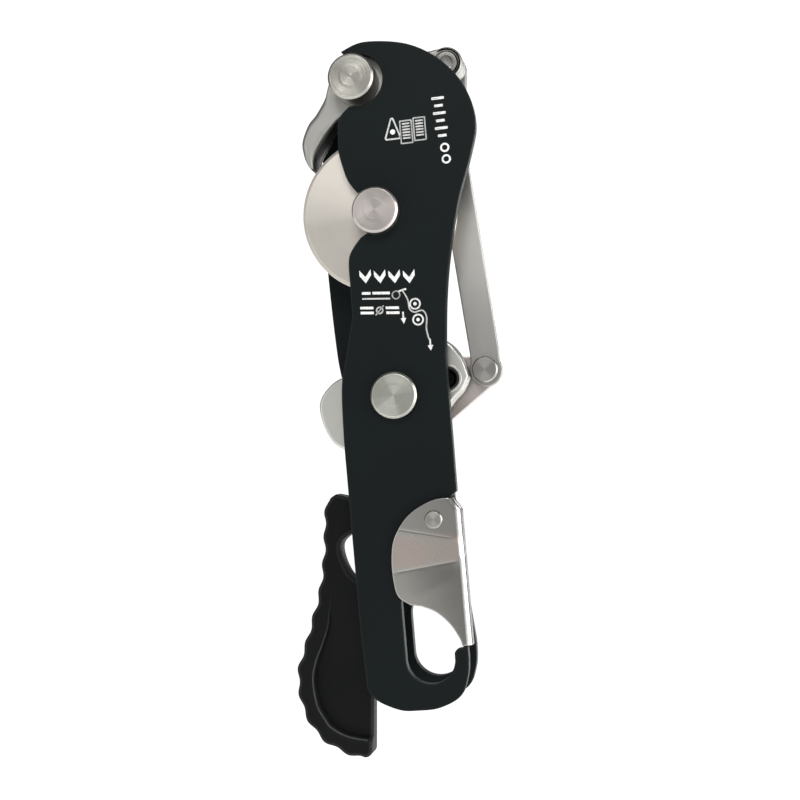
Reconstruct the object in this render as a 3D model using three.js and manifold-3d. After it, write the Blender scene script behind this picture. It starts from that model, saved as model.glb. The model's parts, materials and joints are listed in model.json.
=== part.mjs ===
// Double-stop rope descender for one 10 to 12 mm rope.
// Millimetres. X across the plates, Y through them (the front plate faces -Y), Z up along the body.
// The origin is the middle of the carabiner eye, half way between the two side plates.
import * as THREE from 'three';
import { mergeVertices } from 'three/addons/utils/BufferGeometryUtils.js';
import Module from 'manifold-3d';

const wasm = await Module();
wasm.setup();

// ---------------------------------------------------------------- driving dimensions
const plateThickness = 4;
const plateGap = 18; // clear space between the two side plates
const plateHalfWidth = 18.7; // straight lower stretch of both plates

const eyeToLowerAxle = 83.3; // heights between centres
const lowerToMiddleAxle = 63.6;
const middleToTopAxle = 46.8;
const axleLean = [-4.6, -0.9, -4.5]; // sideways step of each axle from the centre below it

const eyeHalfWidth = 8.4;
const eyeHalfHeight = 15;
const eyeSideWall = 4.6;
const eyeFloor = 8.6; // material under the eye

const headRadius = 8; // turned heads of the three axles
const shankRadius = 5.2; // top and middle axle
const pivotRadius = 6; // lower axle, which carries the front plate and the cam
const topHeadHeight = 5;
const lowerHeadHeight = 3.4;
const screwRadius = 2.5;
const spigotRadius = 4.1; // holes in the back plate that centre the axles
const screwDepth = 9;
const screwHeadRadius = 5;
const screwHeadHeight = 2.6;
const socketAcross = 3;
const washerRadius = 6.6;
const washerThickness = 1;
const spacerRadius = 9; // rings that carry the bobbin and the finger off the back plate
const camWasherRadius = 11;

const bobbinRadius = 27.2;
const grooveRadius = 17.5;
const fingerThickness = 10;
const crank = { x: 30.1, z: 6.8 }; // lower axle to link pin
const topCrank = { x: 32, z: 3 }; // top axle to the finger's eye
const barThickness = 3;
const barWidth = 9.9;
const armThickness = 2.8;
const linkPinRadius = 3;
const linkHeadRadius = 4.5;
const linkHeadHeight = 4;
const eyeletRadius = 3.7;
const eyeletBore = 2.95;
const rivetRadius = 2.4;
const rivetHead = { overlap: 1.3, height: 1.2 };
const gripThickness = 9.8;
const gripRecess = 3;

const gatePinRadius = 2.2;
const gateHeadRadius = 3.1;
const sheet = 1; // gate sheet
const gateReach = 42.95; // gate pin down to the end of the gate
const foldStandoff = 1.9; // the gate's folded edge outside the hook
const springWire = 0.8;

// ---------------------------------------------------------------- named clearances
const face = 0.3; // between faces that slide or are cut by a neighbour
const seat = 0.1; // between faces that only rest on one another
const running = 0.3; // radial, in bushes and bores that turn
const fixed = 0.12; // radial, in bores that hold a fixed piece
const openPivot = 0.6; // radial, where the linkage is left open

// ---------------------------------------------------------------- centres (x, z)
const lowerAxle = { x: axleLean[0], z: eyeToLowerAxle };
const middleAxle = { x: lowerAxle.x + axleLean[1], z: lowerAxle.z + lowerToMiddleAxle };
const topAxle = { x: middleAxle.x + axleLean[2], z: middleAxle.z + middleToTopAxle };
const linkPin = { x: lowerAxle.x + crank.x, z: lowerAxle.z + crank.z };
const fingerEye = { x: topAxle.x + topCrank.x, z: topAxle.z + topCrank.z };
const camEyelet = { x: lowerAxle.x + 17.7, z: lowerAxle.z + 4.5 };
const gatePin = { x: eyeHalfWidth - 3, z: eyeHalfHeight + 25.3 };

// The hook's nose ends just under the path of the gate's outer lower corner.
const eyeRight = eyeHalfWidth + eyeSideWall;
const foldOuter = eyeRight + foldStandoff;
const noseReach = Math.hypot(gateReach, foldOuter - gatePin.x) + face;
const noseTop = (x) => gatePin.z - Math.sqrt(noseReach ** 2 - (x - gatePin.x) ** 2);

// ---------------------------------------------------------------- layers along y
const frontInner = -plateGap / 2;
const frontOuter = frontInner - plateThickness;
const backInner = plateGap / 2;
const backOuter = backInner + plateThickness;
const armBack = backInner - face;
const armFront = armBack - armThickness;
const barBack = armFront - face;
const barFront = barBack - barThickness;
const stackBack = barFront - face; // rear faces of bobbin, cam and finger
const bobbinFront = frontInner + face;
const camFront = frontInner + 2;
const fingerFront = stackBack - fingerThickness;
const gripBack = armFront - seat;
const gripFront = gripBack - gripThickness;

// ---------------------------------------------------------------- outline helpers
const point = (x, z) => new THREE.Vector2(x, z);
const from = (centre, x, z) => point(centre.x + x, centre.z + z);
const polar = (centre, radius, degrees) => {
  const angle = THREE.MathUtils.degToRad(degrees);
  return from(centre, radius * Math.cos(angle), radius * Math.sin(angle));
};

// Points on an arc from one angle to another, in degrees counter-clockwise from +X.
function arc(centre, radius, start, end, steps) {
  const count = Array.from({ length: steps + 1 }, (_, i) => i / steps);
  return count.map((t) => polar(centre, radius, start + (end - start) * t));
}

// A smooth curve through a few chosen points.
const curve = (steps, ...points) => new THREE.SplineCurve(points).getPoints(steps);

// Two straight edges that meet at a corner of the given fillet radius.
function fillet(before, corner, after, radius, steps = 5) {
  const toBefore = before.clone().sub(corner).normalize();
  const toAfter = after.clone().sub(corner).normalize();
  const half = Math.acos(THREE.MathUtils.clamp(toBefore.dot(toAfter), -1, 1)) / 2;
  const reach = radius / Math.tan(half);
  const middle = toBefore.clone().add(toAfter).normalize().multiplyScalar(radius / Math.sin(half));
  const centre = corner.clone().add(middle);
  const first = corner.clone().addScaledVector(toBefore, reach).sub(centre);
  const last = corner.clone().addScaledVector(toAfter, reach).sub(centre);
  const sweep = Math.atan2(first.x * last.y - first.y * last.x, first.dot(last));
  const count = Array.from({ length: steps + 1 }, (_, i) => i / steps);
  return count.map((t) => first.clone().rotateAround(point(0, 0), sweep * t).add(centre));
}

// Runs of points joined into one outline, without doubled points.
function outline(...runs) {
  const points = runs.flat();
  const apart = (a, b) => a.distanceTo(b) > 0.02;
  const kept = points.filter((p, i) => apart(p, points[(i + points.length - 1) % points.length]));
  return new THREE.Shape(kept);
}

const hole = (centre, radius, steps = 24) => new THREE.Path(arc(centre, radius, 0, 360, steps).slice(0, -1));

// ---------------------------------------------------------------- solid helpers
// A flat outline in x and z, given its thickness from yFront to yBack.
function slab(shape, yFront, yBack) {
  const geometry = new THREE.ExtrudeGeometry(shape, { depth: yBack - yFront, bevelEnabled: false });
  geometry.rotateX(Math.PI / 2);
  geometry.translate(0, yBack, 0);
  return geometry;
}

// A turned piece about y; the profile is a closed loop of [radius, y], walked either way round.
function turned(profile, segments = 24) {
  const loop = profile.map(([r, y]) => point(r, y));
  const outward = THREE.ShapeUtils.isClockWise(loop) ? loop.reverse() : loop;
  return new THREE.LatheGeometry([...outward, outward[0].clone()], segments);
}

// A turned ring with plain ends.
function ring(inner, outer, yFront, yBack) {
  return turned([[inner, yBack], [inner, yFront], [outer, yFront], [outer, yBack]], 28);
}

function solid(geometry) {
  const bare = new THREE.BufferGeometry();
  bare.setAttribute('position', geometry.getAttribute('position').clone());
  if (geometry.index) bare.setIndex(geometry.index.clone());
  const merged = mergeVertices(bare, 1e-4);
  const vertProperties = new Float32Array(merged.getAttribute('position').array);
  const triVerts = new Uint32Array(merged.index.array);
  return new wasm.Manifold(new wasm.Mesh({ numProp: 3, vertProperties, triVerts }));
}

function geometryOf(manifold) {
  const mesh = manifold.getMesh();
  const geometry = new THREE.BufferGeometry();
  geometry.setAttribute('position', new THREE.BufferAttribute(mesh.vertProperties, 3));
  geometry.setIndex(new THREE.BufferAttribute(mesh.triVerts, 1));
  return geometry;
}

// ---------------------------------------------------------------- finishes
const finish = (color, roughness, metalness) => ({ color, roughness, metalness });
const blackAnodised = finish(0x1a2020, 0.45, 0.6);
const turnedSteel = finish(0xa8a49c, 0.3, 1);
const satinAluminium = finish(0xc4bfb5, 0.4, 1);
const castAluminium = finish(0xb4b6b0, 0.5, 1);
const castSteel = finish(0xb9b8b4, 0.35, 1);
const brushedSteel = finish(0xa29c95, 0.38, 1);
const sheetSteel = finish(0x8c8a84, 0.32, 1);
const blackNylon = finish(0x24262a, 0.7, 0);
const bronze = finish(0x9a7b4f, 0.45, 1);
const springSteel = finish(0x77777a, 0.4, 1);

const group = new THREE.Group();
const body = () => {
  const part = new THREE.Group();
  group.add(part);
  return part;
};
const frame = body();
const frontPlate = body();
const gate = body();
const lever = body();
const finger = body();
const link = body();

function place(parent, name, geometry, look, centre = { x: 0, z: 0 }) {
  const mesh = new THREE.Mesh(geometry, new THREE.MeshStandardMaterial(look));
  mesh.name = name;
  mesh.position.set(centre.x, 0, centre.z);
  parent.add(mesh);
}

// ---------------------------------------------------------------- side plates
const plateLeft = axleLean[0] - plateHalfWidth;
const plateRight = plateLeft + 2 * plateHalfWidth - 0.4;
const plateFoot = -eyeHalfHeight - eyeFloor;
const eyeBottom = { x: 0, z: eyeHalfWidth - eyeHalfHeight };

// Outer edge round the foot of both plates, from the left side to the right side of the hook.
const footRun = () => [
  ...curve(
    14,
    point(plateLeft + 0.8, -15.5),
    point(plateLeft + 4.2, -19.7),
    point(plateLeft + 11.5, plateFoot + 0.5),
    point(plateLeft + 17.5, plateFoot),
    point(plateLeft + 25, plateFoot + 0.5),
    point(eyeRight - 3.8, -19.6),
    point(eyeRight - 0.8, -13.2),
    point(eyeRight, -7.5),
    point(eyeRight, noseTop(eyeRight)),
  ),
];

// Right-hand edge of the head, from the top down to the straight waist.
const headRun = () => curve(
  34,
  from(topAxle, -3.5, headRadius + 2.2),
  from(topAxle, 5, headRadius + 4.6),
  from(topAxle, 19.6, headRadius + 2),
  from(topAxle, 30.9, 2.8),
  from(topAxle, 38.5, -7.8),
  from(topAxle, 41, -19.8),
  from(topAxle, 38.3, -31),
  from(middleAxle, 28.4, 0.8),
  from(middleAxle, 23.9, -17.2),
  from(lowerAxle, 20.4, 30.7),
  from(lowerAxle, 18.6, 12),
);

function frontPlateShape() {
  const lugRadius = 7.3;
  const notch = { x: topAxle.x + 0.9, z: topAxle.z + 0.9 };
  const notchRadius = headRadius + 1.3;
  const slotRadius = shankRadius + 0.7;
  const slotEnd = { x: middleAxle.x + 1.6, z: middleAxle.z + 0.2 };
  const noseCorner = point(eyeHalfWidth - 0.1, noseTop(eyeHalfWidth - 0.1));
  const shape = outline(
    headRun(),
    [from(gatePin, plateRight - gatePin.x, 9), from(gatePin, plateRight - gatePin.x - 1.8, 7.5)],
    arc(gatePin, lugRadius, 48, -115, 16),
    fillet(polar(gatePin, lugRadius, -115), point(-eyeHalfWidth, gatePin.z - 9), eyeLeft(0), 5),
    arc(eyeBottom, eyeHalfWidth, 180, 352, 20),
    fillet(from(eyeBottom, eyeHalfWidth, 0), noseCorner, point(eyeRight, noseTop(eyeRight)), 1.8),
    footRun().reverse(),
    curve(
      16,
      point(plateLeft, 5),
      point(plateLeft - 0.3, eyeToLowerAxle - 30),
      from(lowerAxle, plateLeft - lowerAxle.x - 0.3, -12),
      from(lowerAxle, -18.2, 5),
      from(lowerAxle, -15.6, 16),
      from(lowerAxle, -12.6, 28),
    ),
    curve(12, from(middleAxle, -11.5, -24), from(middleAxle, -11, -14.5), from(middleAxle, -6.6, -8.4)),
    arc(slotEnd, slotRadius, -115, 105, 18),
    curve(
      18,
      from(middleAxle, -6.6, 7.6),
      from(middleAxle, -9.6, 12.6),
      from(middleAxle, -11.6, 21),
      from(topAxle, -7.2, -22.6),
      from(topAxle, -6.3, -13.6),
      from(topAxle, -2.2, -headRadius - 1.2),
    ),
    arc(notch, notchRadius, -94, 112, 20),
  );
  shape.holes.push(hole(lowerAxle, headRadius), hole(gatePin, gatePinRadius + fixed, 24));
  return shape;
}

const eyeLeft = (z) => point(-eyeHalfWidth, z);

function backPlateShape() {
  const waist = plateRight - 4;
  const shape = outline(
    curve(
      26,
      from(topAxle, 2, 11.6),
      from(topAxle, 14, 10.4),
      from(topAxle, 26, 4),
      from(topAxle, 34, -6),
      from(topAxle, 36.4, -19),
      from(topAxle, 33.4, -31),
      from(middleAxle, 22.4, 0),
      from(middleAxle, 17.6, -18),
      from(lowerAxle, waist - lowerAxle.x + 1, 30),
      from(lowerAxle, waist - lowerAxle.x, 12),
    ),
    curve(
      10,
      from(lowerAxle, waist - lowerAxle.x, -14),
      point(waist, gatePin.z + 8),
      point(eyeRight - 2.6, gatePin.z - 10),
      point(eyeRight - 1.2, gatePin.z - 30),
      point(eyeRight, noseTop(eyeRight)),
    ),
    footRun().reverse(),
    curve(
      20,
      point(plateLeft, 5),
      point(plateLeft - 0.3, eyeToLowerAxle - 30),
      from(lowerAxle, plateLeft - lowerAxle.x - 0.6, -8),
      from(lowerAxle, -22.8, 10),
      from(lowerAxle, -23.9, 23),
      from(middleAxle, -23.7, -17.3),
      from(middleAxle, -23.5, 0),
      from(middleAxle, -18, 14),
      from(middleAxle, -14, 23),
      from(topAxle, -11.6, -20),
      from(topAxle, -15.8, -22.9),
    ),
    curve(
      10,
      from(topAxle, -16.6, -21),
      from(topAxle, -16.9, -10),
      from(topAxle, -15.8, -2.4),
      from(topAxle, -12.4, 3.2),
      from(topAxle, -6.4, 9.4),
    ),
  );
  shape.holes.push(
    hole(topAxle, spigotRadius),
    hole(middleAxle, spigotRadius),
    hole(lowerAxle, spigotRadius),
    hole(dowel, dowelRadius + fixed, 16),
    hole(handleStop, dowelRadius + fixed, 16),
    new THREE.Path([
      ...arc({ x: -0.4, z: eyeBottom.z }, eyeHalfWidth + 0.4, 180, 360, 20),
      ...arc({ x: -0.4, z: eyeHalfHeight - eyeHalfWidth }, eyeHalfWidth + 0.4, 0, 180, 20),
    ]),
  );
  return shape;
}

const dowelRadius = 2;
const dowel = { x: middleAxle.x, z: middleAxle.z + 12 };
const handleStop = { x: lowerAxle.x - 3.5, z: lowerAxle.z - 27 };
place(frontPlate, 'front_plate', slab(frontPlateShape(), frontOuter, frontInner), blackAnodised);
place(frame, 'back_plate', slab(backPlateShape(), backInner, backOuter), blackAnodised);

// ---------------------------------------------------------------- axles, screws and washers
// Head, shank and a spigot that centres the axle in the back plate, bored for its screw.
function axleProfile(head, shank, yFront, yShoulder) {
  const spigot = spigotRadius - fixed;
  const spigotEnd = backOuter - face;
  const bore = screwRadius + fixed;
  const boreEnd = backOuter - screwDepth - face;
  const bevel = 0.7;
  return turned([
    [0, yFront],
    [0, boreEnd],
    [bore, boreEnd],
    [bore, spigotEnd],
    [spigot, spigotEnd],
    [spigot, backInner - seat],
    [shank, backInner - seat],
    [shank, yShoulder],
    [head, yShoulder],
    [head, yFront + bevel],
    [head - bevel, yFront],
  ]);
}

function screwSolid() {
  const yHead = backOuter + washerThickness + 2 * seat;
  const top = yHead + screwHeadHeight;
  const blank = solid(turned([
    [0, backOuter - screwDepth],
    [0, top],
    [screwHeadRadius * 0.62, top],
    [screwHeadRadius * 0.9, top - 0.8],
    [screwHeadRadius, yHead + 0.6],
    [screwHeadRadius, yHead],
    [screwRadius, yHead],
    [screwRadius, backOuter - screwDepth],
  ]));
  const key = new THREE.CylinderGeometry(socketAcross / 1.73, socketAcross / 1.73, 2, 6);
  key.translate(0, top - 0.6, 0);
  return geometryOf(blank.subtract(solid(key)));
}

const axles = [
  ['top_axle', topAxle, frontOuter - topHeadHeight, fingerFront - face, shankRadius],
  ['middle_axle', middleAxle, frontOuter - topHeadHeight, frontOuter - face, shankRadius],
  ['lower_axle', lowerAxle, frontOuter - lowerHeadHeight, frontOuter - face, pivotRadius],
];
for (const [name, centre, yFront, yShoulder, shank] of axles) {
  place(frame, name, axleProfile(headRadius, shank, yFront, yShoulder), turnedSteel, centre);
  place(frame, `${name}_screw`, screwSolid(), turnedSteel, centre);
  const washer = ring(screwRadius + running, washerRadius, backOuter + seat, backOuter + seat + washerThickness);
  place(frame, `${name}_washer`, washer, turnedSteel, centre);
}

// ---------------------------------------------------------------- upper bobbin
function bobbinSolid() {
  const rim = 1.4;
  const middle = (bobbinFront + stackBack) / 2;
  const blank = solid(turned([
    [shankRadius + fixed, bobbinFront],
    [shankRadius + fixed, stackBack],
    [bobbinRadius - 0.5, stackBack],
    [bobbinRadius, stackBack - 0.5],
    [bobbinRadius, stackBack - rim],
    [grooveRadius + 1.2, middle + 1.6],
    [grooveRadius, middle],
    [grooveRadius + 1.2, middle - 1.6],
    [bobbinRadius, bobbinFront + rim],
    [bobbinRadius, bobbinFront + 0.5],
    [bobbinRadius - 0.5, bobbinFront],
  ], 48));
  const pinHole = new THREE.CylinderGeometry(dowelRadius + fixed, dowelRadius + fixed, 8, 16);
  pinHole.translate(dowel.x - middleAxle.x, stackBack, dowel.z - middleAxle.z);
  return geometryOf(blank.subtract(solid(pinHole)));
}
place(frame, 'upper_bobbin', bobbinSolid(), satinAluminium, middleAxle);
const dowelPin = new THREE.CylinderGeometry(dowelRadius, dowelRadius, backOuter - stackBack + 3, 16);
dowelPin.translate(0, (backOuter + stackBack - 3) / 2 - seat, 0);
place(frame, 'bobbin_dowel', dowelPin, turnedSteel, dowel);
const bobbinSpacer = ring(shankRadius + fixed, spacerRadius, stackBack + seat, backInner - seat);
place(frame, 'bobbin_spacer', bobbinSpacer, turnedSteel, middleAxle);
const stopPin = new THREE.CylinderGeometry(dowelRadius, dowelRadius, backOuter - armFront - seat, 16);
stopPin.translate(0, (backOuter + armFront) / 2 - seat, 0);
place(frame, 'handle_stop_pin', stopPin, turnedSteel, handleStop);

// ---------------------------------------------------------------- brake finger
const fingerHub = 9.8;
const fingerBushRadius = 7;
const eyeRingRadius = 5.7;
const eyeRivetRadius = 2.9;
const eyeRivetBore = 1.6;

function fingerSolid() {
  const claw = outline(
    arc(fingerEye, eyeRingRadius, -96, 110, 14),
    curve(6, from(topAxle, 22, 7.6), from(topAxle, 13, 9.6), from(topAxle, 5, fingerHub - 0.8)),
    arc(topAxle, fingerHub, 90, 168, 7),
    curve(
      14,
      from(topAxle, -11.4, -3.2),
      from(topAxle, -15.3, -8.7),
      from(topAxle, -18.7, -12.4),
      from(topAxle, -21.3, -18.3),
      from(topAxle, -21, -23),
      from(topAxle, -19.8, -26.4),
      from(topAxle, -18.6, -28.4),
    ),
    curve(
      10,
      from(topAxle, -17.8, -28),
      from(topAxle, -16.8, -23),
      from(topAxle, -11.8, -16.3),
      from(topAxle, -7.3, -11.9),
      from(topAxle, -1.4, -fingerHub + 0.4),
    ),
    curve(6, from(topAxle, 5, -10.6), from(topAxle, 14, -6), from(fingerEye, -8, -5)),
  );
  claw.holes.push(hole(topAxle, fingerBushRadius + fixed), hole(fingerEye, eyeRivetRadius + fixed, 24));
  const pad = outline(
    curve(
      14,
      from(topAxle, -15.6, -9.2),
      from(topAxle, -18.7, -12.4),
      from(topAxle, -21.3, -18.3),
      from(topAxle, -21, -23),
      from(topAxle, -19.8, -26.4),
      from(topAxle, -18.6, -28.4),
    ),
    curve(8, from(topAxle, -17.8, -28), from(topAxle, -16.8, -23), from(topAxle, -12.2, -16.7)),
  );
  const arm = solid(slab(claw, fingerFront, stackBack));
  return geometryOf(arm.add(solid(slab(pad, fingerFront, barBack))));
}
place(finger, 'brake_finger', fingerSolid(), castSteel);
const fingerBush = ring(shankRadius + running, fingerBushRadius, fingerFront, stackBack);
place(finger, 'finger_bush', fingerBush, bronze, topAxle);
// Hollow rivet that joins the finger to the top of the link bar.
const eyeRivet = turned([
  [eyeRivetBore, fingerFront - 0.4],
  [eyeRivetBore, armFront + 0.6],
  [eyeRivetRadius + 1.3, armFront + 0.6],
  [eyeRivetRadius + 1.3, barBack + seat],
  [eyeRivetRadius, barBack + seat],
  [eyeRivetRadius, fingerFront - seat],
  [eyeRivetRadius + 1, fingerFront - seat],
  [eyeRivetRadius + 1, fingerFront - 0.4],
]);
place(finger, 'eye_rivet', eyeRivet, turnedSteel, fingerEye);
const topSpacer = ring(shankRadius + fixed, spacerRadius, stackBack + seat, backInner - seat);
place(frame, 'top_spacer', topSpacer, turnedSteel, topAxle);

// ---------------------------------------------------------------- link bar
function barShape() {
  const half = barWidth / 2;
  const endRadius = 5.75;
  const bend = { x: fingerEye.x - 2, z: fingerEye.z - 30 };
  const shape = outline(
    arc(fingerEye, endRadius, 0, 180, 12),
    [from(bend, -half - 0.4, 0), from(linkPin, -half - 0.2, 6.4)],
    arc(linkPin, endRadius, 150, 390, 16),
    [from(linkPin, half + 0.1, 6.4), from(bend, half + 0.4, 0)],
  );
  shape.holes.push(hole(fingerEye, eyeRivetRadius + openPivot, 24), hole(linkPin, linkPinRadius + running, 24));
  return shape;
}
place(link, 'link_bar', slab(barShape(), barFront, barBack), brushedSteel);

// ---------------------------------------------------------------- cam and its lever
const camHub = 10;
const camBushRadius = 7.8;

function camOutline() {
  return curve(
    42,
    from(lowerAxle, 25, 4.6),
    from(lowerAxle, 22.7, 12.1),
    from(lowerAxle, 17.6, 18.1),
    from(lowerAxle, 8, 21.6),
    from(lowerAxle, -4, 19),
    from(lowerAxle, -13, 11),
    from(lowerAxle, -22.9, 6.4),
    from(lowerAxle, -28, -0.6),
    from(lowerAxle, -26, -10.8),
    from(lowerAxle, -20.9, -16.5),
    from(lowerAxle, -8, -20),
    from(lowerAxle, 8, -15.5),
    from(lowerAxle, 18.2, -3.9),
    from(lowerAxle, 22.3, 0),
    from(lowerAxle, 25, 4.6),
  ).slice(0, -1);
}

// The rim of the cam carries a shallow rope groove, so the outline is drawn in and out across it.
function camSolid() {
  const rim = camOutline();
  const centre = point(lowerAxle.x, lowerAxle.z);
  const middle = (camFront + stackBack) / 2;
  const sections = [
    [camFront, 0.6],
    [camFront + 0.6, 0],
    [camFront + 2, 0],
    [middle, 3.4],
    [stackBack - 2, 0],
    [stackBack - 0.6, 0],
    [stackBack, 0.6],
  ];
  const inset = (p, depth) => p.clone().sub(centre).setLength(p.distanceTo(centre) - depth).add(centre);
  const rings = sections.map(([y, depth]) => rim.map((p) => [inset(p, depth).x, y, inset(p, depth).y]));
  const size = rim.length;
  const vertices = [...rings.flat(), [centre.x, camFront, centre.y], [centre.x, stackBack, centre.y]];
  const frontHub = vertices.length - 2;
  const backHub = vertices.length - 1;
  const last = (sections.length - 1) * size;
  const triangles = [];
  for (let i = 0; i < size; i += 1) {
    const next = (i + 1) % size;
    triangles.push(frontHub, i, next);
    triangles.push(backHub, last + next, last + i);
    for (let row = 0; row < last; row += size) {
      triangles.push(row + i, row + size + i, row + next);
      triangles.push(row + next, row + size + i, row + size + next);
    }
  }
  const geometry = new THREE.BufferGeometry();
  geometry.setAttribute('position', new THREE.Float32BufferAttribute(vertices.flat(), 3));
  geometry.setIndex(triangles);
  const boss = new THREE.CylinderGeometry(camHub, camHub, armFront - camFront - seat, 28);
  boss.translate(lowerAxle.x, (armFront + camFront - seat) / 2, lowerAxle.z);
  const bore = new THREE.CylinderGeometry(camBushRadius + fixed, camBushRadius + fixed, 4 * plateGap, 28);
  bore.translate(lowerAxle.x, 0, lowerAxle.z);
  const eyeletHole = new THREE.CylinderGeometry(eyeletRadius + fixed, eyeletRadius + fixed, 4 * plateGap, 24);
  eyeletHole.translate(camEyelet.x, 0, camEyelet.z);
  const cast = solid(geometry).add(solid(boss));
  return geometryOf(cast.subtract(solid(bore)).subtract(solid(eyeletHole)));
}
place(lever, 'cam', camSolid(), castAluminium);
const camBush = ring(pivotRadius + running, camBushRadius, camFront, armBack - seat);
place(lever, 'cam_bush', camBush, bronze, lowerAxle);
const eyeletTube = ring(eyeletBore, eyeletRadius, camFront - 0.3, armBack - seat);
place(lever, 'cam_eyelet', eyeletTube, turnedSteel, camEyelet);
const eyeletSpacer = ring(eyeletRadius + fixed, 5, stackBack + seat, armFront - seat);
place(lever, 'cam_eyelet_spacer', eyeletSpacer, turnedSteel, camEyelet);

const gripRivets = [
  from(lowerAxle, -15.9, -37.2),
  from(lowerAxle, -14.1, -77.5),
].map(({ x, y }) => ({ x, z: y }));

function armShape() {
  const hub = 14;
  const shape = outline(
    arc(linkPin, 5.2, -50, 92, 10),
    [from(linkPin, -8, 5.6), from(lowerAxle, 12, 13)],
    arc(lowerAxle, hub + 2, 55, 175, 14),
    curve(8, from(lowerAxle, -18, -14), from(lowerAxle, -22, -30), from(gripRivets[0], -6.5, -4)),
    [from(gripRivets[1], -6.5, 12)],
    arc(gripRivets[1], 6.2, 180, 360, 12),
    [from(gripRivets[1], 6.2, 12), from(handleStop, -dowelRadius - face - 1, -8)],
    [from(handleStop, -dowelRadius - face, 6)],
    curve(6, from(lowerAxle, -3.6, -18), from(lowerAxle, 5, -15.6), from(lowerAxle, 16, -9.6)),
  );
  shape.holes.push(hole(lowerAxle, camBushRadius + fixed), hole(camEyelet, eyeletRadius + fixed, 28));
  shape.holes.push(hole(linkPin, linkPinRadius + fixed, 24));
  gripRivets.forEach((centre) => shape.holes.push(hole(centre, rivetRadius + fixed, 20)));
  return shape;
}
place(lever, 'arm_plate', slab(armShape(), armFront, armBack), brushedSteel);

const linkPinSolid = turned([
  [0, barFront - linkHeadHeight],
  [0, armBack - seat],
  [linkPinRadius, armBack - seat],
  [linkPinRadius, barFront - seat],
  [linkHeadRadius, barFront - seat],
  [linkHeadRadius, barFront - linkHeadHeight + 0.4],
  [linkHeadRadius - 0.4, barFront - linkHeadHeight],
]);
place(lever, 'link_pin', linkPinSolid, turnedSteel, linkPin);

// ---------------------------------------------------------------- grip
// The outer edge is a long curve with a shallow wave for the fingers.
function gripEdge() {
  const waves = 11;
  const wave = 0.75;
  const base = new THREE.SplineCurve([
    from(lowerAxle, -24.7, -32.4),
    from(lowerAxle, -29.4, -37),
    from(lowerAxle, -31.2, -50),
    from(lowerAxle, -34, -64.5),
    from(lowerAxle, -39.4, -80),
    from(lowerAxle, -44.1, -93),
    from(lowerAxle, -43.4, -105.5),
    from(lowerAxle, -38.6, -115),
    from(lowerAxle, -31.6, -120.6),
    from(lowerAxle, -24, -123.6),
  ]);
  const steps = waves * 7;
  const count = Array.from({ length: steps + 1 }, (_, i) => i / steps);
  return count.map((t) => {
    const along = base.getTangentAt(t);
    const swell = wave * Math.cos(2 * Math.PI * waves * t);
    return base.getPointAt(t).add(point(along.y, -along.x).multiplyScalar(-swell));
  });
}

function gripSolid() {
  const shape = outline(
    gripEdge(),
    fillet(from(lowerAxle, -24, -123.9), from(lowerAxle, -21.1, -124), from(lowerAxle, -19.6, -105), 1.6),
    curve(
      20,
      from(lowerAxle, -19.6, -105),
      from(lowerAxle, -16.6, -94),
      from(lowerAxle, -8, -84),
      from(lowerAxle, -7.6, -70),
      from(lowerAxle, -15, -65),
      from(lowerAxle, -22.7, -60.6),
      from(lowerAxle, -25.8, -51.4),
      from(lowerAxle, -22.8, -46.8),
      from(lowerAxle, -12, -42),
      from(lowerAxle, -9.4, -36),
      from(lowerAxle, -13, -31),
      from(lowerAxle, -20, -30.6),
    ),
  );
  gripRivets.forEach((centre) => shape.holes.push(hole(centre, rivetRadius + fixed, 20)));
  const recess = outline(
    curve(
      14,
      from(lowerAxle, -32, -77),
      from(lowerAxle, -35, -83.5),
      from(lowerAxle, -38, -92),
      from(lowerAxle, -38, -102),
      from(lowerAxle, -33.6, -111),
      from(lowerAxle, -27, -116),
      from(lowerAxle, -16, -118.6),
    ),
    [from(lowerAxle, -4, -118.6), from(lowerAxle, -4, -92), from(lowerAxle, -22, -84)],
  );
  const blank = solid(slab(shape, gripFront, gripBack));
  return geometryOf(blank.subtract(solid(slab(recess, gripFront - 1, gripFront + gripRecess))));
}
place(lever, 'handle_grip', gripSolid(), blackNylon);
gripRivets.forEach((centre, index) => {
  const rivet = turned([
    [0, gripFront - rivetHead.height],
    [0, armBack - seat],
    [rivetRadius, armBack - seat],
    [rivetRadius, gripFront - seat],
    [rivetRadius + rivetHead.overlap, gripFront - seat],
    [rivetRadius + rivetHead.overlap / 2, gripFront - rivetHead.height],
  ]);
  place(lever, `grip_rivet_${index + 1}`, rivet, turnedSteel, centre);
});

// ---------------------------------------------------------------- front plate pivot
const plateBush = ring(pivotRadius + running, headRadius - fixed, frontOuter, frontInner);
place(frontPlate, 'plate_bush', plateBush, bronze, lowerAxle);
const camWasher = ring(pivotRadius + running, camWasherRadius, frontInner + face, camFront - face);
place(frame, 'cam_washer', camWasher, turnedSteel, lowerAxle);

// ---------------------------------------------------------------- gate
const cheekFront = frontOuter - face - sheet;
const rearCheek = frontInner + face;
const joggle = 0.8;

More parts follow.
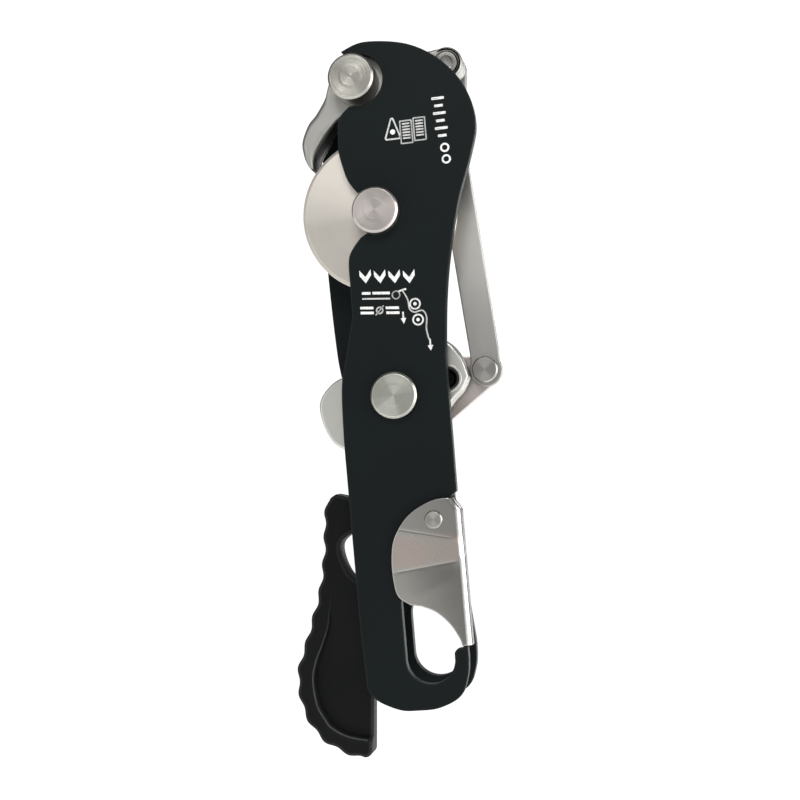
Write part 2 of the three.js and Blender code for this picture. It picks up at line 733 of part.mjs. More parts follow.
function gateSolid() {
  const tip = gatePin.z - gateReach;
  const top = gatePin.z + 6.6;
  const cheek = outline(
    curve(
      22,
      from(gatePin, 5.2, 6.9),
      from(gatePin, -1, 6.2),
      from(gatePin, -8.6, 2),
      from(gatePin, -14, -5.2),
      from(gatePin, -15.7, -13),
      from(gatePin, -15.5, -21),
      from(gatePin, -14.2, -25.4),
      from(gatePin, -10.4, -28.2),
    ),
    curve(
      10,
      from(gatePin, -6.6, -28.9),
      from(gatePin, -1.8, -31.2),
      from(gatePin, 2.4, -35.4),
      from(gatePin, 5.2, -40.2),
      point(eyeRight - 1.6, tip),
    ),
    [point(foldOuter, tip), point(foldOuter, top - 4), point(foldOuter - 2.6, top)],
  );
  const bend = outline([
    point(cheekFront - joggle, gatePin.z + 12),
    point(cheekFront - joggle, gatePin.z - 4),
    point(cheekFront, gatePin.z - 15),
    point(cheekFront, tip - 4),
    point(cheekFront + sheet, tip - 4),
    point(cheekFront + sheet, gatePin.z - 15),
    point(cheekFront + sheet - joggle, gatePin.z - 4),
    point(cheekFront + sheet - joggle, gatePin.z + 12),
  ]);
  // The folded sheet's side view, drawn in y and z and carried right across the gate.
  const across = 2 * plateHalfWidth + foldOuter;
  const folded = new THREE.ExtrudeGeometry(bend, { depth: 2 * across, bevelEnabled: false });
  folded.applyMatrix4(new THREE.Matrix4().makeBasis(
    new THREE.Vector3(0, 1, 0),
    new THREE.Vector3(0, 0, 1),
    new THREE.Vector3(1, 0, 0),
  ));
  folded.translate(-across, 0, 0);
  const rearEnd = rearCheek + sheet;
  const front = solid(folded).intersect(solid(slab(cheek, cheekFront - 5, rearEnd)));
  const rear = solid(slab(cheek, rearCheek, rearEnd));
  const spine = outline([
    point(foldOuter - sheet, tip),
    point(foldOuter, tip),
    point(foldOuter, top - 4),
    point(foldOuter - 2.6, top),
    point(foldOuter - 2.6 - sheet, top - 0.6),
    point(foldOuter - sheet, top - 4.6),
  ]);
  const wall = solid(slab(spine, cheekFront - joggle, rearEnd));
  const bore = new THREE.CylinderGeometry(gatePinRadius + running, gatePinRadius + running, 4 * plateGap, 24);
  bore.translate(gatePin.x, 0, gatePin.z);
  return geometryOf(front.add(rear).add(wall).subtract(solid(bore)));
}
place(gate, 'gate', gateSolid(), sheetSteel);

const springTurns = 1.5;
const springPitch = springWire * 1.06;
const springRoom = springTurns * springPitch + springWire + 2 * seat;
const pinEnd = rearCheek + sheet + springRoom;
const gatePinSolid = turned([
  [0, cheekFront - joggle - 0.9],
  [0, pinEnd],
  [gatePinRadius, pinEnd],
  [gatePinRadius, cheekFront - joggle - seat],
  [gateHeadRadius, cheekFront - joggle - seat],
  [gateHeadRadius, cheekFront - joggle - 0.6],
  [gateHeadRadius - 0.4, cheekFront - joggle - 0.9],
]);
place(frontPlate, 'gate_pin', gatePinSolid, turnedSteel, gatePin);
const gateWasher = ring(gatePinRadius + fixed, 4.6, cheekFront + sheet - joggle + seat, frontOuter - seat);
place(frontPlate, 'gate_washer', gateWasher, turnedSteel, gatePin);

// Torsion spring behind the rear cheek: close turns round the pin, then a leg down the gate.
function gateSpringSolid() {
  const coil = gatePinRadius + 0.4 + springWire / 2;
  const yStart = rearCheek + sheet + seat + springWire / 2;
  const steps = 20;
  const points = Array.from({ length: steps + 1 }, (_, i) => {
    const angle = (i / steps) * springTurns * 2 * Math.PI;
    const y = yStart + springPitch * springTurns * (1 - i / steps);
    return new THREE.Vector3(coil * Math.cos(angle), y, coil * Math.sin(angle));
  });
  points.push(new THREE.Vector3(-coil, yStart, -6), new THREE.Vector3(-coil + 1, yStart, -16));
  const path = new THREE.CatmullRomCurve3(points);
  const wire = new THREE.Shape(arc({ x: 0, z: 0 }, springWire / 2, 0, 360, 6).slice(0, -1));
  return new THREE.ExtrudeGeometry(wire, { steps: 40, extrudePath: path, bevelEnabled: false });
}
place(gate, 'gate_spring', gateSpringSolid(), springSteel, gatePin);

export default group;
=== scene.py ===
"""Double-stop rope descender: the finished pieces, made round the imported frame.

Sizes are in millimetres and meshes are made in metres. X runs to the right seen from the front, Y from the
front plate to the back plate, Z up. An outline is an array of (x, z) points, walked anticlockwise.
"""
import json
import math

import bmesh
import bpy
import numpy as np
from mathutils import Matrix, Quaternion, Vector
from mathutils.geometry import delaunay_2d_cdt


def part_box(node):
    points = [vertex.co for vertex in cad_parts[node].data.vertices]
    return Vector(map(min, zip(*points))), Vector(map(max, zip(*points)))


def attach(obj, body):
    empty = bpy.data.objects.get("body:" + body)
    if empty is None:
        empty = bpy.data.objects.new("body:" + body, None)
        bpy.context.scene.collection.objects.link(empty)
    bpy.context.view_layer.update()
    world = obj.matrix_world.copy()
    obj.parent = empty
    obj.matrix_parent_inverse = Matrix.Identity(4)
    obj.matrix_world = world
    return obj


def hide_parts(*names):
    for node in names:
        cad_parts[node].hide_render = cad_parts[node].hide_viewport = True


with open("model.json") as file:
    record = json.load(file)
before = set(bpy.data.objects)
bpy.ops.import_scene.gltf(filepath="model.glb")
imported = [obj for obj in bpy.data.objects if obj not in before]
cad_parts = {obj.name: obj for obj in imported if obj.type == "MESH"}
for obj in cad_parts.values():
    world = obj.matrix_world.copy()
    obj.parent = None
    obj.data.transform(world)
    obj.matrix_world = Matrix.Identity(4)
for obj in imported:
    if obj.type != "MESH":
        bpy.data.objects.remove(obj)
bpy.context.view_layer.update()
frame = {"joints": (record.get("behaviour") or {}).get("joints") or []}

MM = 0.001
scene = bpy.context.scene


# ------------------------------------------------------------------ camera
def make_camera():
    """A long lens a little to the right of the front, tipped as the object leans."""
    stand = (0.0801, -0.493, 0.0571)
    aim = Vector((-0.1703, 0.9841, 0.0503))
    lean = Quaternion((0, 0, 1), math.radians(-4.8))
    data = bpy.data.cameras.new("camera")
    data.sensor_width = 36
    data.lens = 64.35
    camera = bpy.data.objects.new("camera", data)
    scene.collection.objects.link(camera)
    camera.location = stand
    camera.rotation_mode = "QUATERNION"
    camera.rotation_quaternion = aim.to_track_quat("-Z", "Y") @ lean
    scene.camera = camera


make_camera()


# ------------------------------------------------------------------ places taken from the frame
def low(node):
    return np.array(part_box(node)[0]) / MM


def high(node):
    return np.array(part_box(node)[1]) / MM


def centre_of(node):
    middle = (low(node) + high(node)) / 2
    return middle[[0, 2]]


pivots = {j["name"]: np.array(j["pos_m"])[[0, 2]] / MM for j in frame["joints"]}
LOWER = pivots["handle_pivot"]
TOP = pivots["finger_pivot"]
LINK = pivots["link_pivot"]
GATE = pivots["gate_hinge"]
MIDDLE = centre_of("middle_axle")
RIVET = centre_of("eye_rivet")
EYELET = centre_of("cam_eyelet")
DOWEL = centre_of("bobbin_dowel")
STOP = centre_of("handle_stop_pin")
GRIP_RIVETS = [centre_of("grip_rivet_1"), centre_of("grip_rivet_2")]

AXLES = {"top_axle": TOP, "middle_axle": MIDDLE, "lower_axle": LOWER}

GAP = 0.3  # between faces that slide past each other
HEAD = (high("lower_axle") - low("lower_axle"))[0] / 2
SPACER_WALL = 3.8
SHANK = (high("top_spacer") - low("top_spacer"))[0] / 2 - SPACER_WALL
BUSH_BORE = 6.3
BUSH_SEAT = 7.92
EYELET_SEAT = 3.82
RIVET_SEAT = 2.52
PLATE_FRONT, PLATE_REAR = low("front_plate")[1], high("front_plate")[1]
BACK_FRONT, BACK_REAR = low("back_plate")[1], high("back_plate")[1]
BAR_FRONT, BAR_REAR = low("link_bar")[1], high("link_bar")[1]
FINGER_FRONT, FINGER_REAR = low("brake_finger")[1], high("brake_finger")[1]
CAM_REAR = BAR_FRONT - GAP
FOLD = high("gate")[0]
BEND = 2.2
GATE_TIP = low("gate")[2]
EYE_HALF = 8.4
EYE_TOP = 15
EYE_BOTTOM = -EYE_TOP + EYE_HALF
HOOK_RIGHT = FOLD - 1.9
PLATE_LEFT = LOWER[0] - 18.7
PLATE_RIGHT = PLATE_LEFT + 37
NOSE_REACH = math.hypot(GATE[1] - GATE_TIP, FOLD - GATE[0]) + GAP


# ------------------------------------------------------------------ outlines
def at(centre, *steps):
    """Points given as steps from a centre."""
    return np.asarray(centre, float) + np.array(steps, float).reshape(-1, 2)


def curve(*runs, per=8):
    """A Catmull-Rom curve through the points, with per steps between two of them."""
    p = np.vstack(runs)
    last = len(p) - 1
    i = np.arange(last)
    p0, p1, p2, p3 = p[np.maximum(i - 1, 0)], p[i], p[i + 1], p[np.minimum(i + 2, last)]
    v0, v1 = (p2 - p0) / 2, (p3 - p1) / 2
    t = (np.arange(per) / per)[None, :, None]
    cubic = (2 * p1 - 2 * p2 + v0 + v1)[:, None] * t**3 + (3 * p2 - 3 * p1 - 2 * v0 - v1)[:, None] * t**2
    return np.vstack([(cubic + v0[:, None] * t + p1[:, None]).reshape(-1, 2), p[-1:]])


def arc(centre, radius, start, end, steps=None):
    """Points on a circle from one angle to another, in degrees anticlockwise from +X."""
    steps = steps or max(4, int(abs(end - start) / 5))
    angle = np.radians(np.linspace(start, end, steps + 1))
    return np.asarray(centre) + radius * np.stack([np.cos(angle), np.sin(angle)], 1)


def fillet(before, corner, after, radius, steps=8):
    """The arc that rounds a corner between two straight edges."""
    before, corner, after = (np.asarray(p, float).reshape(2) for p in (before, corner, after))
    a = (before - corner) / np.linalg.norm(before - corner)
    b = (after - corner) / np.linalg.norm(after - corner)
    half = math.acos(np.clip(a @ b, -1, 1)) / 2
    centre = corner + (a + b) / np.linalg.norm(a + b) * radius / math.sin(half)
    first = corner + a * radius / math.tan(half) - centre
    last = corner + b * radius / math.tan(half) - centre
    sweep = math.atan2(first[0] * last[1] - first[1] * last[0], first @ last)
    turn = math.atan2(first[1], first[0]) + sweep * np.linspace(0, 1, steps + 1)
    return centre + radius * np.stack([np.cos(turn), np.sin(turn)], 1)


def rounded(*corners, steps=6):
    """A closed polygon with rounded corners; each corner is (x, z, radius)."""
    c = np.array(corners, float)
    around = zip(np.roll(c, 1, 0), c, np.roll(c, -1, 0))
    return np.vstack([fillet(a[:2], b[:2], d[:2], max(b[2], 0.01), steps) for a, b, d in around])


def loop(*runs):
    """Runs of points joined into one closed outline, anticlockwise, without doubled points."""
    p = np.vstack(runs)
    p = p[np.linalg.norm(p - np.roll(p, 1, 0), axis=1) > 0.02]
    x, z = p.T
    area = np.sum(x * np.roll(z, -1) - np.roll(x, -1) * z)
    return p if area > 0 else p[::-1]


def finer(p, spacing):
    """The same closed outline with its long edges divided."""
    after = np.roll(p, -1, 0)
    parts = np.ceil(np.linalg.norm(after - p, axis=1) / spacing).astype(int)
    start = np.repeat(p, parts, 0)
    step = np.repeat((after - p) / parts[:, None], parts, 0)
    count = np.arange(parts.sum()) - np.repeat(np.cumsum(parts) - parts, parts)
    return start + step * count[:, None]


def inset(p, depth):
    """A closed outline moved towards its left side by a depth, which may differ from point to point."""
    edge = np.roll(p, -1, 0) - p
    edge /= np.linalg.norm(edge, axis=1)[:, None]
    normal = np.stack([-edge[:, 1], edge[:, 0]], 1)
    before = np.roll(normal, 1, 0)
    share = np.maximum(1 + np.sum(before * normal, 1), 0.5)
    return p + (before + normal) / share[:, None] * np.reshape(depth, (-1, 1))


def facing(p, direction):
    """1 where the outline's outward side faces a direction, 0 where it faces away."""
    way = np.roll(p, -1, 0) - np.roll(p, 1, 0)
    way /= np.linalg.norm(way, axis=1)[:, None]
    outward = np.stack([way[:, 1], -way[:, 0]], 1)
    return np.clip(outward @ np.array(direction) * 4, 0, 1)


def inside(points, loops):
    """Which points are in the material: an odd number of outline edges lies to their right."""
    crossings = np.zeros(len(points), int)
    for p in loops:
        a, b = p, np.roll(p, -1, 0)
        z = points[:, 1][:, None]
        spans = (a[:, 1] > z) != (b[:, 1] > z)
        rise = np.where(b[:, 1] == a[:, 1], 1e-9, b[:, 1] - a[:, 1])
        x = a[:, 0] + (z - a[:, 1]) * (b[:, 0] - a[:, 0]) / rise
        crossings += np.sum(spans & (points[:, 0][:, None] < x), 1)
    return crossings % 2 == 1


# ------------------------------------------------------------------ surfaces
class Surface:
    """Gathers grids and filled faces as whole arrays, then makes one piece of them.
    Every point carries a share called edge, 1 on rounded edges and 0 elsewhere, that the finishes read."""

    def __init__(self):
        self.points, self.edge, self.faces, self.count = [], [], [], 0

    def _add(self, points, edge):
        start = self.count
        self.points.append(points)
        self.edge.append(np.broadcast_to(edge, len(points)))
        self.count += len(points)
        return start

    def grid(self, rows, wrap=True, edge=0.0):
        """Quads over an array of rows x columns x 3; wrap joins the last column to the first."""
        r, c = rows.shape[:2]
        edge = np.broadcast_to(np.reshape(edge, (-1, 1)) if np.ndim(edge) == 1 else edge, (r, c))
        index = self._add(rows.reshape(-1, 3), edge.ravel()) + np.arange(r * c).reshape(r, c)
        after = np.roll(index, -1, 1) if wrap else index[:, 1:]
        index = index if wrap else index[:, :-1]
        quads = np.stack([index[:-1], index[1:], after[1:], after[:-1]], -1)
        self.faces += quads.reshape(-1, 4).tolist()

    def fill(self, loops, height, lines=(), cell=None, shine=None):
        """A face between outlines: a constrained triangulation, lifted to height(x, z) along Y. lines are kept
        as edges, cell is the spacing of free points, and shine(x, z) gives their share of edge."""
        boundary = np.vstack(loops)
        points, edges, start = [boundary], [], 0
        for p in loops:
            i = np.arange(len(p))
            edges += np.stack([start + i, start + (i + 1) % len(p)], 1).tolist()
            start += len(p)
        for p in lines:
            i = np.arange(len(p) - 1)
            points.append(p)
            edges += np.stack([start + i, start + i + 1], 1).tolist()
            start += len(p)
        if cell:
            lo, hi = boundary.min(0), boundary.max(0)
            x, z = np.meshgrid(np.arange(lo[0], hi[0], cell), np.arange(lo[1], hi[1], cell))
            free = np.stack([x.ravel(), z.ravel()], 1)
            taken = np.vstack(points)
            crowded = cell * 0.55
            near = np.linalg.norm(free[:, None] - taken[None], axis=2).min(1) < crowded
            points.append(free[inside(free, loops) & ~near])
        flat = [Vector(p) for p in np.vstack(points)]
        found, _, triangles, *_ = delaunay_2d_cdt(flat, edges, [], 1, 1e-7)
        found, triangles = np.array(found), np.array(triangles)
        triangles = triangles[inside(found[triangles].mean(1), loops)]
        raised = np.stack([found[:, 0], height(*found.T), found[:, 1]], 1)
        self.faces += (triangles + self._add(raised, shine(*found.T) if shine else 0.0)).tolist()

    def make(self, name, body, finish, node=None, slot=None, sharp=40):
        """The piece itself: doubles merged, faces outwards, smooth but for its sharp corners."""
        mesh = bpy.data.meshes.new(name)
        mesh.from_pydata(np.vstack(self.points) * MM, [], self.faces)
        mesh.attributes.new("edge", "FLOAT", "POINT")
        mesh.attributes["edge"].data.foreach_set("value", np.concatenate(self.edge).astype(np.float32))
        work = bmesh.new()
        work.from_mesh(mesh)
        bmesh.ops.remove_doubles(work, verts=work.verts, dist=1e-6)
        bmesh.ops.recalc_face_normals(work, faces=work.faces)
        loose = [v for v in work.verts if not v.link_faces]
        bmesh.ops.delete(work, geom=loose, context="VERTS")
        work.to_mesh(mesh)
        work.free()
        mesh.polygons.foreach_set("use_smooth", np.ones(len(mesh.polygons), bool))
        mesh.set_sharp_from_angle(angle=math.radians(sharp))
        mesh.materials.append(finish)
        piece = bpy.data.objects.new(name, mesh)
        scene.collection.objects.link(piece)
        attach(piece, body)
        if node:
            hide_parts(node)
        return piece


def as_height(value):
    """A number or a function of (x, z), as a function."""
    return value if callable(value) else lambda x, z: np.full(np.shape(x), float(value))


def plate(surface, outer, holes, front, back, edge=0.4, rear_edge=None, hole_edge=0.3, wall=(), lines=(),
          cell=None, shine=None):
    """A flat piece: each outline carries a rounded edge from the front face to the back face, then both faces
    are filled. Along an edge of radius e the inset is e (1 - sin a) and the depth e (1 - cos a) for a from 0
    to 90 degrees, and a support ring lies just past it. wall gives (inset, share of the thickness, edge
    value) for rings between the two rounded edges."""
    support = 0.3
    front, back = as_height(front), as_height(back)
    rear_edge = edge if rear_edge is None else rear_edge
    angles = np.radians(np.linspace(0, 90, 5))
    fronts, backs = [], []
    for number, p in enumerate([outer, *[h[::-1] for h in holes]]):
        e = edge if number == 0 else hole_edge
        r = rear_edge if number == 0 else hole_edge
        rings, shares = [], []

        def ring(depth, side, drop, share):
            flat = inset(p, depth)
            y = side(*flat.T) + drop
            rings.append(np.stack([flat[:, 0], y, flat[:, 1]], 1))
            shares.append(np.broadcast_to(share, len(p)))

        ring(np.add(e, support), front, 0, 0)
        for a in angles:
            ring(np.multiply(e, 1 - math.sin(a)), front, np.multiply(e, 1 - math.cos(a)), 1)
        for depth, share, value in wall if number == 0 else ():
            flat = inset(p, depth)
            y = (1 - share) * (front(*flat.T) + e) + share * (back(*flat.T) - r)
            rings.append(np.stack([flat[:, 0], y, flat[:, 1]], 1))
            shares.append(np.broadcast_to(value, len(p)))
        for a in angles[::-1]:
            ring(np.multiply(r, 1 - math.sin(a)), back, np.multiply(r, math.cos(a) - 1), 1)
        ring(np.add(r, support), back, 0, 0)
        surface.grid(np.array(rings), edge=np.array(shares, float))
        fronts.append(rings[0][:, [0, 2]])
        backs.append(rings[-1][:, [0, 2]])
    surface.fill(fronts, front, lines, cell, shine)
    surface.fill(backs, back, (), cell)
    return surface


def soft_profile(corners):
    """A closed profile of (radius, y, rounding) corners: each rounded corner gets an arc and a support point
    on either side, so that the faces between stay flat. Returns the points and their share of edge."""
    c = np.array(corners, float)
    points, shares = [], []
    for a, b, d in zip(np.roll(c, 1, 0), c, np.roll(c, -1, 0)):
        if b[2] <= 0:
            points.append(b[None, :2])
            shares.append([0])
            continue
        bend = fillet(a[:2], b[:2], d[:2], b[2], 5)
        support = 0.35 * b[2] + 0.05
        before = bend[0] + (a[:2] - bend[0]) / np.linalg.norm(a[:2] - bend[0]) * support
        after = bend[-1] + (d[:2] - bend[-1]) / np.linalg.norm(d[:2] - bend[-1]) * support
        points.append(np.vstack([before, bend, after]))
        shares.append([0, *[1] * len(bend), 0])
    return np.vstack(points), np.concatenate(shares)


def turned(surface, centre, *corners, segments=96):
    """A turned piece about Y: the profile (r, y) carried round the circle, (r cos a, y, r sin a)."""
    profile, shares = soft_profile(corners)
    profile, shares = np.vstack([profile, profile[:1]]), np.append(shares, shares[0])
    angle = 2 * np.pi * np.arange(segments) / segments
    r, y = profile[:, :1], profile[:, 1:]
    rows = np.stack([
        centre[0] + r * np.cos(angle),
        np.broadcast_to(y, (len(r), segments)),
        centre[1] + r * np.sin(angle),
    ], -1)
    surface.grid(rows, edge=shares.astype(float))
    return surface


def tube(surface, path, radius, sides=14):
    """A round wire along a path, with domed ends: p + r (u cos a + v sin a) on a frame (u, v) that turns as
    little as it can."""
    path = np.asarray(path, float)
    along = np.gradient(path, axis=0)
    along /= np.linalg.norm(along, axis=1)[:, None]
    side = np.cross(along[0], (0.3, 0.9, 0.2))
    sides_at = []
    for t in along:
        side = side - t * (side @ t)
        side /= np.linalg.norm(side)
        sides_at.append(side)
    u = np.array(sides_at)
    v = np.cross(along, u)
    bend = np.radians([90, 60, 30])
    start = path[:1] - along[:1] * radius * np.sin(bend)[:, None]
    end = path[-1:] + along[-1:] * radius * np.sin(bend[::-1])[:, None]
    rings = np.vstack([start, path, end])
    size = radius * np.concatenate([np.cos(bend), np.ones(len(path)), np.cos(bend[::-1])])
    u = np.vstack([u[:1].repeat(3, 0), u, u[-1:].repeat(3, 0)])
    v = np.vstack([v[:1].repeat(3, 0), v, v[-1:].repeat(3, 0)])
    a = 2 * np.pi * np.arange(sides) / sides
    outward = np.cos(a)[None, :, None] * u[:, None] + np.sin(a)[None, :, None] * v[:, None]
    surface.grid(rings[:, None] + outward * size[:, None, None])
    return surface


# ------------------------------------------------------------------ shader arithmetic
class Socket:
    """An output in a finish. Arithmetic on it adds Math nodes."""

    def __init__(self, finish, link):
        self.finish, self.link = finish, link

    def __add__(self, other):
        return self.finish.math("ADD", self, other)

    def __sub__(self, other):
        return self.finish.math("SUBTRACT", self, other)

    def __mul__(self, other):
        return self.finish.math("MULTIPLY", self, other)

    def __truediv__(self, other):
        return self.finish.math("DIVIDE", self, other)

    def __pow__(self, other):
        return self.finish.math("POWER", self, other)

    def __rsub__(self, other):
        return self.finish.math("SUBTRACT", other, self)

    __radd__ = __add__
    __rmul__ = __mul__


class Finish:
    """One material: a Principled shader, its constant sockets, and the nodes that vary it over a surface."""

    def __init__(self, name, constants):
        self.material = bpy.data.materials.new(name)
        self.material.use_nodes = True
        self.tree = self.material.node_tree
        self.tree.nodes.clear()
        output = self.tree.nodes.new("ShaderNodeOutputMaterial")
        self.shader = self.tree.nodes.new("ShaderNodeBsdfPrincipled")
        self.tree.links.new(self.shader.outputs[0], output.inputs["Surface"])
        for key, value in constants.items():
            self.shader.inputs[key].default_value = value

    def node(self, kind, settings=None, inputs=None, output=0):
        """A node of a type, with its settings, then the values or links of its sockets."""
        node = self.tree.nodes.new(kind)
        for key, value in (settings or {}).items():
            setattr(node, key, value)
        for key, value in (inputs or {}).items():
            if isinstance(value, Socket):
                self.tree.links.new(value.link, node.inputs[key])
            else:
                node.inputs[key].default_value = value
        return Socket(self, node.outputs[output])

    def math(self, operation, *values):
        return self.node("ShaderNodeMath", {"operation": operation}, dict(enumerate(values)))

    def mix(self, share, first, second):
        """Between two colours."""
        pair = [c if isinstance(c, Socket) else (*c, 1) for c in (first, second)]
        return self.node("ShaderNodeMix", {"data_type": "RGBA"}, {0: share, 6: pair[0], 7: pair[1]}, 2)

    def place(self, centre=(0, 0), turn=0.0, size=(1, 1, 1)):
        """Object coordinates in millimetres from a centre, turned about Y by degrees and divided by a size."""
        coordinates = self.node("ShaderNodeTexCoord", output="Object")
        where = {
            "Vector": coordinates,
            "Location": (centre[0] * MM, 0, centre[1] * MM),
            "Rotation": (0, math.radians(turn), 0),
            "Scale": tuple(s * MM for s in size),
        }
        return self.node("ShaderNodeMapping", {"vector_type": "TEXTURE"}, where)

    def noise(self, place, detail=2.0, rough=0.5):
        inputs = {"Vector": place, "Scale": 1.0, "Detail": detail, "Roughness": rough}
        return self.node("ShaderNodeTexNoise", None, inputs)

    def speck(self, size, detail=2.0, seed=0.0):
        """Even noise with spots of about a size in millimetres."""
        return self.noise(self.place((seed, seed), 0, (size, size, size)), detail)

    def step(self, value, start, end):
        """0 below start, 1 above end, smooth between."""
        inputs = {"Value": value, "From Min": start, "From Max": end}
        return self.node("ShaderNodeMapRange", {"interpolation_type": "SMOOTHSTEP"}, inputs)

    def split(self, vector):
        """The x, y and z of a vector."""
        node = self.node("ShaderNodeSeparateXYZ", None, {0: vector}).link.node
        return tuple(Socket(self, output) for output in node.outputs)

    def edge(self):
        """The share of edge that every point of a surface carries."""
        return self.node("ShaderNodeAttribute", {"attribute_name": "edge"}, output="Fac")

    def radial(self, centre, size):
        """Coordinates (distance from a Y axis, y) divided by a size: noise on them makes turning lines."""
        x, y, z = self.split(self.place(centre))
        distance = (x * x + z * z) ** 0.5
        return self.node("ShaderNodeCombineXYZ", None, {0: distance / size, 1: y / size})

    def dark(self):
        """1 where the edge share is -1: faces to be painted dark as shade."""
        return self.math("MAXIMUM", self.edge() * -1.0, 0.0)

    def vector(self, operation, *values):
        return self.node("ShaderNodeVectorMath", {"operation": operation}, dict(enumerate(values)))

    def away(self, x, z):
        """The unit direction from a Y axis."""
        return self.vector("NORMALIZE", self.node("ShaderNodeCombineXYZ", None, {0: x, 2: z}))

    def grooves(self, centre, pitch, tilt):
        """Lathe grooves too fine to draw: the normal n tips along the direction d from the axis by a random
        amount that depends only on the distance r from it, n + d (random(r / pitch) - 0.5) tilt."""
        x, _, z = self.split(self.place(centre))
        away = self.away(x, z)
        settings = {"vector_type": "VECTOR", "convert_from": "OBJECT", "convert_to": "WORLD"}
        away = self.node("ShaderNodeVectorTransform", settings, {0: away})
        groove = self.math("FLOOR", (x * x + z * z) ** 0.5 / pitch)
        random = self.node("ShaderNodeTexWhiteNoise", {"noise_dimensions": "1D"}, {"W": groove})
        scale = {0: away, "Scale": (random - 0.5) * tilt}
        tip = self.node("ShaderNodeVectorMath", {"operation": "SCALE"}, scale)
        normal = self.node("ShaderNodeNewGeometry", output="Normal")
        return self.vector("NORMALIZE", self.vector("ADD", normal, tip))

    def painted_sheen(self, centre, angle):
        """Painted sheen, in place of the light that turning lines reflect: 1 along a line through the axis at
        an angle a to +X in degrees and 0 across it, (u cos a + w sin a)^2 for the unit direction (u, w) from
        the axis, broken up by noise."""
        x, _, z = self.split(self.place(centre))
        away = self.away(x, z)
        line = (math.cos(math.radians(angle)), 0, math.sin(math.radians(angle)))
        dot = self.node("ShaderNodeVectorMath", {"operation": "DOT_PRODUCT"}, {0: away, 1: line}, "Value")
        uneven = self.noise(self.vector("MULTIPLY_ADD", away, (1.7, 1.7, 1.7), (angle, 0, angle)), 1)
        return self.step(dot * dot + (uneven - 0.5) * 1.1, 0.15, 0.95)

    def bump(self, height, depth, below=None):
        """A Bump node of a depth in millimetres, over another one."""
        inputs = {"Height": height, "Distance": depth * MM, "Strength": 1.0}
        if below:
            inputs["Normal"] = below
        return self.node("ShaderNodeBump", None, inputs)

    def done(self, colour, roughness, normal=None):
        """The material, with what varies over the surface joined to the shader."""
        for key, value in {"Base Color": colour, "Roughness": roughness, "Normal": normal}.items():
            if isinstance(value, Socket):
                self.tree.links.new(value.link, self.shader.inputs[key])
            elif value is not None:
                self.shader.inputs[key].default_value = value
        return self.material


def shade(colour, factor):
    return tuple(c * factor for c in colour)


# ------------------------------------------------------------------ finishes
def black_anodised(name):
    """Satin black anodising on blasted plate: a cool cast, faint handling marks and lighter worn edges."""
    f = Finish(name, {"Metallic": 0.0, "Specular IOR Level": 0.075})
    cloud = f.speck(38, 3)
    grain = f.speck(0.22, 2)
    marks = f.step(f.noise(f.place((3, 9), 31, (0.5, 6, 14)), 4), 0.62, 0.78)
    dark = f.mix(cloud, (0.0052, 0.0060, 0.0062), (0.0040, 0.0080, 0.0078))
    dark = f.mix(grain * 0.35, dark, (0.0085, 0.0105, 0.0105))
    dark = f.mix(marks * 0.06, dark, (0.03, 0.033, 0.033))
    worn = f.edge() * (0.55 + f.speck(5, 2, 3) * 0.5)
    colour = f.mix(worn * 0.35, dark, (0.026, 0.030, 0.029))
    roughness = 0.46 + (cloud - 0.5) * 0.10 + marks * 0.05
    return f.done(colour, roughness, f.bump(grain, 0.0035))


def turned_metal(name, centre, colour, line=0.16, tilt=0.12, rough=0.27, sheen=90, rings=0.12):
    """Metal off the lathe: fine random rings round the axis, a few wider ones, painted sheen in sectors at an
    angle (a shaded and a lit copy of the colour) and brighter broken edges. line is the width of a ring and
    tilt the slope of its groove."""
    f = Finish(name, {"Metallic": 1.0})
    fine = f.noise(f.radial(centre, line), 2)
    broad = f.noise(f.radial(centre, line * 9), 2)
    cloud = f.speck(7, 3)
    # Painted sheen: a shaded and a lit copy of the colour, mixed by the angle round the axis.
    base = f.mix(f.painted_sheen(centre, sheen), shade(colour, 0.76), shade(colour, 1.10))
    base = f.mix(fine * rings, base, shade(colour, 1.3))
    base = f.mix(broad * rings, base, shade(colour, 0.7))
    base = f.mix(f.edge() * 0.4, base, shade(colour, 1.25))
    roughness = rough + (broad - 0.5) * 0.06 + (cloud - 0.5) * 0.08
    return f.done(base, roughness, f.grooves(centre, line * 0.3, tilt))


def cast_metal(name, colour, rough=0.36, grain=0.4, depth=0.006, polish=0.5):
    """A casting tumbled smooth: fine pits, broad soft swells, faint stains and polished edges. Faces whose
    share of edge is -1 are painted near-black: painted shade."""
    f = Finish(name, {"Metallic": 1.0})
    fine = f.speck(grain, 3)
    swell = f.speck(6, 2)
    stain = f.step(f.speck(11, 5, 4), 0.40, 0.72)
    base = f.mix(fine, shade(colour, 0.93), shade(colour, 1.05))
    base = f.mix(stain * 0.25, base, shade(colour, 0.84))
    base = f.mix(f.edge() * polish, base, shade(colour, 1.22))
    # Painted shade: faces marked -1 go near-black.
    base = f.mix(f.dark() * 0.96, base, (0.018, 0.019, 0.019))
    roughness = rough + (fine - 0.5) * 0.10 + stain * 0.06 - f.edge() * 0.08
    return f.done(base, roughness, f.bump(swell, 0.08, f.bump(fine, depth)))


